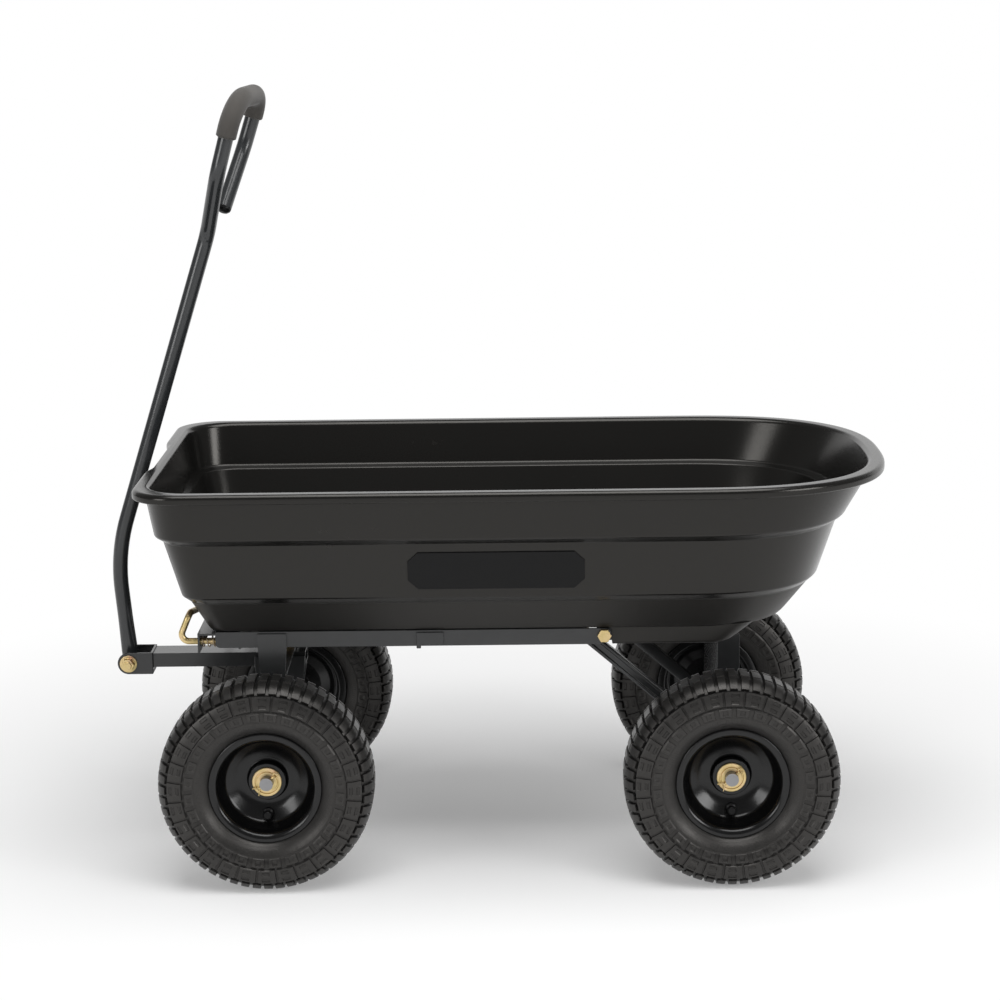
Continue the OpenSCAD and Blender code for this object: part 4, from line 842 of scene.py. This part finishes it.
STRUT_TOP, STRUT_LOW, STRUT_Y, STRUT_W = (85.5, 300.0), (270.0, 141.7), 107.25, 15.5
STRUT_TOP_GAP, STRUT_LOW_GAP, STRUT_CORNER_R, STRUT_STATIONS, STRUT_ARC_STEPS = 4, 2, 2.2, 3, 5
CHANNEL_HALF, CHANNEL_BED, CHANNEL_DEPTH, CHANNEL_R = 4.2, 3.0, 2.4, .7


def make_strut(name, side):
    """A square tube from the foot under the floor down to the bracket, with round corners and a channel
    pressed along its outer side."""
    top, low = [np.array([x, side * STRUT_Y, z]) for x, z in (STRUT_TOP, STRUT_LOW)]
    way = (low - top) / np.linalg.norm(low - top)
    route = np.linspace(top + way * STRUT_TOP_GAP, low - way * STRUT_LOW_GAP, STRUT_STATIONS)
    half = STRUT_W / 2
    deep = half - CHANNEL_DEPTH
    corners = [
        (0, -half), (half, -half), (half, -CHANNEL_HALF), (deep, -CHANNEL_BED), (deep, CHANNEL_BED),
        (half, CHANNEL_HALF), (half, half), (-half, half), (-half, -half), (0, -half),
    ]
    radii = [STRUT_CORNER_R] + 4 * [CHANNEL_R] + 3 * [STRUT_CORNER_R]
    section = rounded(corners, radii, STRUT_ARC_STEPS)[:-1]
    sections = np.broadcast_to(section, (STRUT_STATIONS, *section.shape))
    points, faces = carried(route, sections, (0, side, 0))
    piece(name + "_channelled", points, faces, "tub", "frame_steel", (name,), crease=30)


make_strut("strut_left", -1)
make_strut("strut_right", 1)


# Frame pieces with broken edges, and finishes for the other solids

BODY_OF = {n: body for body, nodes in frame["record"]["behaviour"]["bodies"].items() for n in nodes}
SLOT_OF = {s["node"]: s["material_slot"] for s in frame["record"]["subparts"]}
SHEET = [
    "rail_left", "rail_right", "front_crossbar", "bolster", "rail_clips", "latch_guide", "tongue",
    "fork_left", "fork_right", "clevis_left", "clevis_right", "clevis_web", "rear_bracket_web",
    "rear_bracket_left", "rear_bracket_right", "strut_feet", "strike_plate", "hinge_ear_left",
    "hinge_ear_right",
]
HARDWARE = [
    "hinge_rod", "kingpin", "handle_pivot", "tub_screws", "front_collars", "rear_collars", "latch_collar",
    "front_axle", "rear_axle",
]
SHEET_EDGE, HARDWARE_EDGE, BADGE_EDGE = 0.7, 0.45, 0.6
for name in SHEET:
    eased(name, BODY_OF[name], SLOT_OF[name], SHEET_EDGE)
for name in HARDWARE + ["valve_" + wheel for wheel in WHEELS]:
    eased(name, BODY_OF[name], SLOT_OF[name], HARDWARE_EDGE)
eased("badge_plate", "tub", "trim_black", BADGE_EDGE)
for name, solid in NODES.items():
    solid.data.materials.clear()
    solid.data.materials.append(SLOTS[SLOT_OF[name]].material)


# Stage, in metres

FLOOR_HALF, WALL_HALF, WALL_Y, WALL_H = 9, 12, 9, 5
PALE_FROM, PALE_TO, PALE_SHARE = 0.5, 1.3, 0.25
SURROUND_LIGHT = 0.22


def add_node(tree, kind, settings, sockets, out=0):
    """Adds one node to a tree, with its settings and the values or links of its sockets. Returns one of its
    outputs."""
    node = tree.nodes.new(kind)
    for key, value in settings.items():
        setattr(node, key, value)
    for key, value in sockets.items():
        if isinstance(value, bpy.types.NodeSocket):
            tree.links.new(value, node.inputs[key])
        else:
            node.inputs[key].default_value = value
    return node.outputs[out]


def ray_is(tree, kind):
    """1 for rays of one kind, Camera or Glossy, else 0."""
    return add_node(tree, "ShaderNodeLightPath", {}, {}, "Is " + kind + " Ray")


def stage_plane(name, corners):
    """A plane of the stage with its own new material, whose nodes it returns.

    The plane isn't sampled as a lamp, so that reflections of it keep their full strength."""
    mesh = bpy.data.meshes.new(name)
    mesh.from_pydata(corners, [], [(0, 1, 2, 3)])
    paint = bpy.data.materials.new("pale_" + name)
    paint.use_nodes = True
    paint.node_tree.nodes.clear()
    mesh.materials.append(paint)
    plane = bpy.data.objects.new(name, mesh)
    bpy.context.scene.collection.objects.link(plane)
    paint.cycles.emission_sampling = "NONE"
    return paint.node_tree


def show(tree, surface):
    """Makes a shader the tree's surface."""
    tree.links.new(surface, tree.nodes.new("ShaderNodeOutputMaterial").inputs["Surface"])


def white_glow(tree):
    """Emission that shows as plain white."""
    return add_node(tree, "ShaderNodeEmission", {}, {"Color": (1, 1, 1, 1), "Strength": 1.0})


def placed(obj, spot, right, up, ahead):
    """Sets an object's place and turn from its right, up and forward ways."""
    turn = np.stack([right, up, -np.array(ahead)], 1)
    obj.matrix_world = Matrix([[*turn[k], spot[k]] for k in range(3)] + [[0, 0, 0, 1]])
    bpy.context.scene.collection.objects.link(obj)


def make_floor():
    """A pale matte floor that keeps the cart's shadow.

    To the camera and to glossy surfaces it turns white away from the cart: partly near the middle, then
    rising smoothly to the whole."""
    tree = stage_plane("floor", [
        (-FLOOR_HALF, -FLOOR_HALF, 0), (FLOOR_HALF, -FLOOR_HALF, 0),
        (FLOOR_HALF, FLOOR_HALF, 0), (-FLOOR_HALF, FLOOR_HALF, 0),
    ])
    where = add_node(tree, "ShaderNodeTexCoord", {}, {}, "Object")
    reach = add_node(tree, "ShaderNodeVectorMath", {"operation": "LENGTH"}, {0: where}, "Value")
    spread = {"Value": reach, "From Min": PALE_FROM, "From Max": PALE_TO, "To Min": PALE_SHARE, "To Max": 1.0}
    far = add_node(tree, "ShaderNodeMapRange", {"interpolation_type": "SMOOTHSTEP"}, spread)
    kinds = {0: ray_is(tree, "Camera"), 1: ray_is(tree, "Glossy")}
    seen = add_node(tree, "ShaderNodeMath", {"operation": "MAXIMUM"}, kinds)
    share = add_node(tree, "ShaderNodeMath", {"operation": "MULTIPLY"}, {0: far, 1: seen})
    matte = add_node(tree, "ShaderNodeBsdfDiffuse", {}, {"Color": (.93, .93, .93, 1)})
    show(tree, add_node(tree, "ShaderNodeMixShader", {}, {0: share, 1: matte, 2: white_glow(tree)}))


def make_backdrop():
    """A plain white wall well behind the cart."""
    tree = stage_plane("backdrop", [
        (-WALL_HALF, WALL_Y, 0), (WALL_HALF, WALL_Y, 0),
        (WALL_HALF, WALL_Y, WALL_H), (-WALL_HALF, WALL_Y, WALL_H),
    ])
    show(tree, white_glow(tree))


def make_surround():
    """A surround that the camera sees as white and that lights the cart softly."""
    world = bpy.data.worlds.new("studio")
    bpy.context.scene.world = world
    world.use_nodes = True
    tree = world.node_tree
    seen = {"Value": ray_is(tree, "Camera"), "To Min": SURROUND_LIGHT, "To Max": 1.0}
    level = add_node(tree, "ShaderNodeMapRange", {}, seen)
    tree.links.new(level, tree.nodes["Background"].inputs["Strength"])
    tree.nodes["Background"].inputs["Color"].default_value = (1, 1, 1, 1)


def make_lamps():
    """Square soft lamps overhead and on both sides, each turned towards the cart."""
    for name, place, aim, size, power in (
        ("overhead", (0.1, -0.55, 2.6), (0, 0, 0.4), 2.1, 60),
        ("right", (2.3, -1.8, 1.1), (0.2, 0, 0.4), 1.1, 26),
        ("left", (-2.2, -2.2, 1.1), (-0.2, 0, 0.4), 1.1, 20),
    ):
        lamp = bpy.data.lights.new(name, "AREA")
        lamp.size = size
        lamp.energy = power
        way = np.array(aim) - np.array(place)
        way = way / np.linalg.norm(way)
        right = np.cross(way, (0, 0, 1))
        right = right / np.linalg.norm(right)
        placed(bpy.data.objects.new(name, lamp), place, right, np.cross(right, way), way)


def make_camera():
    """The photo's camera, whose place, turn and lens were fitted to the wheels, the rim and the handle.

    It looks along the yaw, in radians from +Y, and down by the pitch, and is rolled about that way."""
    yaw, pitch, roll = -0.011965, 0.2062287, -0.013821
    spot = np.array([41.468, -3192.645, 1096.214])
    ahead = np.array([math.sin(yaw) * math.cos(pitch), math.cos(yaw) * math.cos(pitch), -math.sin(pitch)])
    level = np.array([math.cos(yaw), -math.sin(yaw), 0])
    upright = np.cross(level, ahead)
    right = level * math.cos(roll) + upright * math.sin(roll)
    up = upright * math.cos(roll) - level * math.sin(roll)
    lens = bpy.data.cameras.new("photo_camera")
    lens.lens = 92.817
    lens.sensor_width = 36.0
    camera = bpy.data.objects.new("photo_camera", lens)
    placed(camera, (spot + SHIFT) * MM, right, up, ahead)
    bpy.context.scene.camera = camera
    bpy.context.scene.view_settings.view_transform = "Standard"


make_floor()
make_backdrop()
make_surround()
make_lamps()
make_camera()
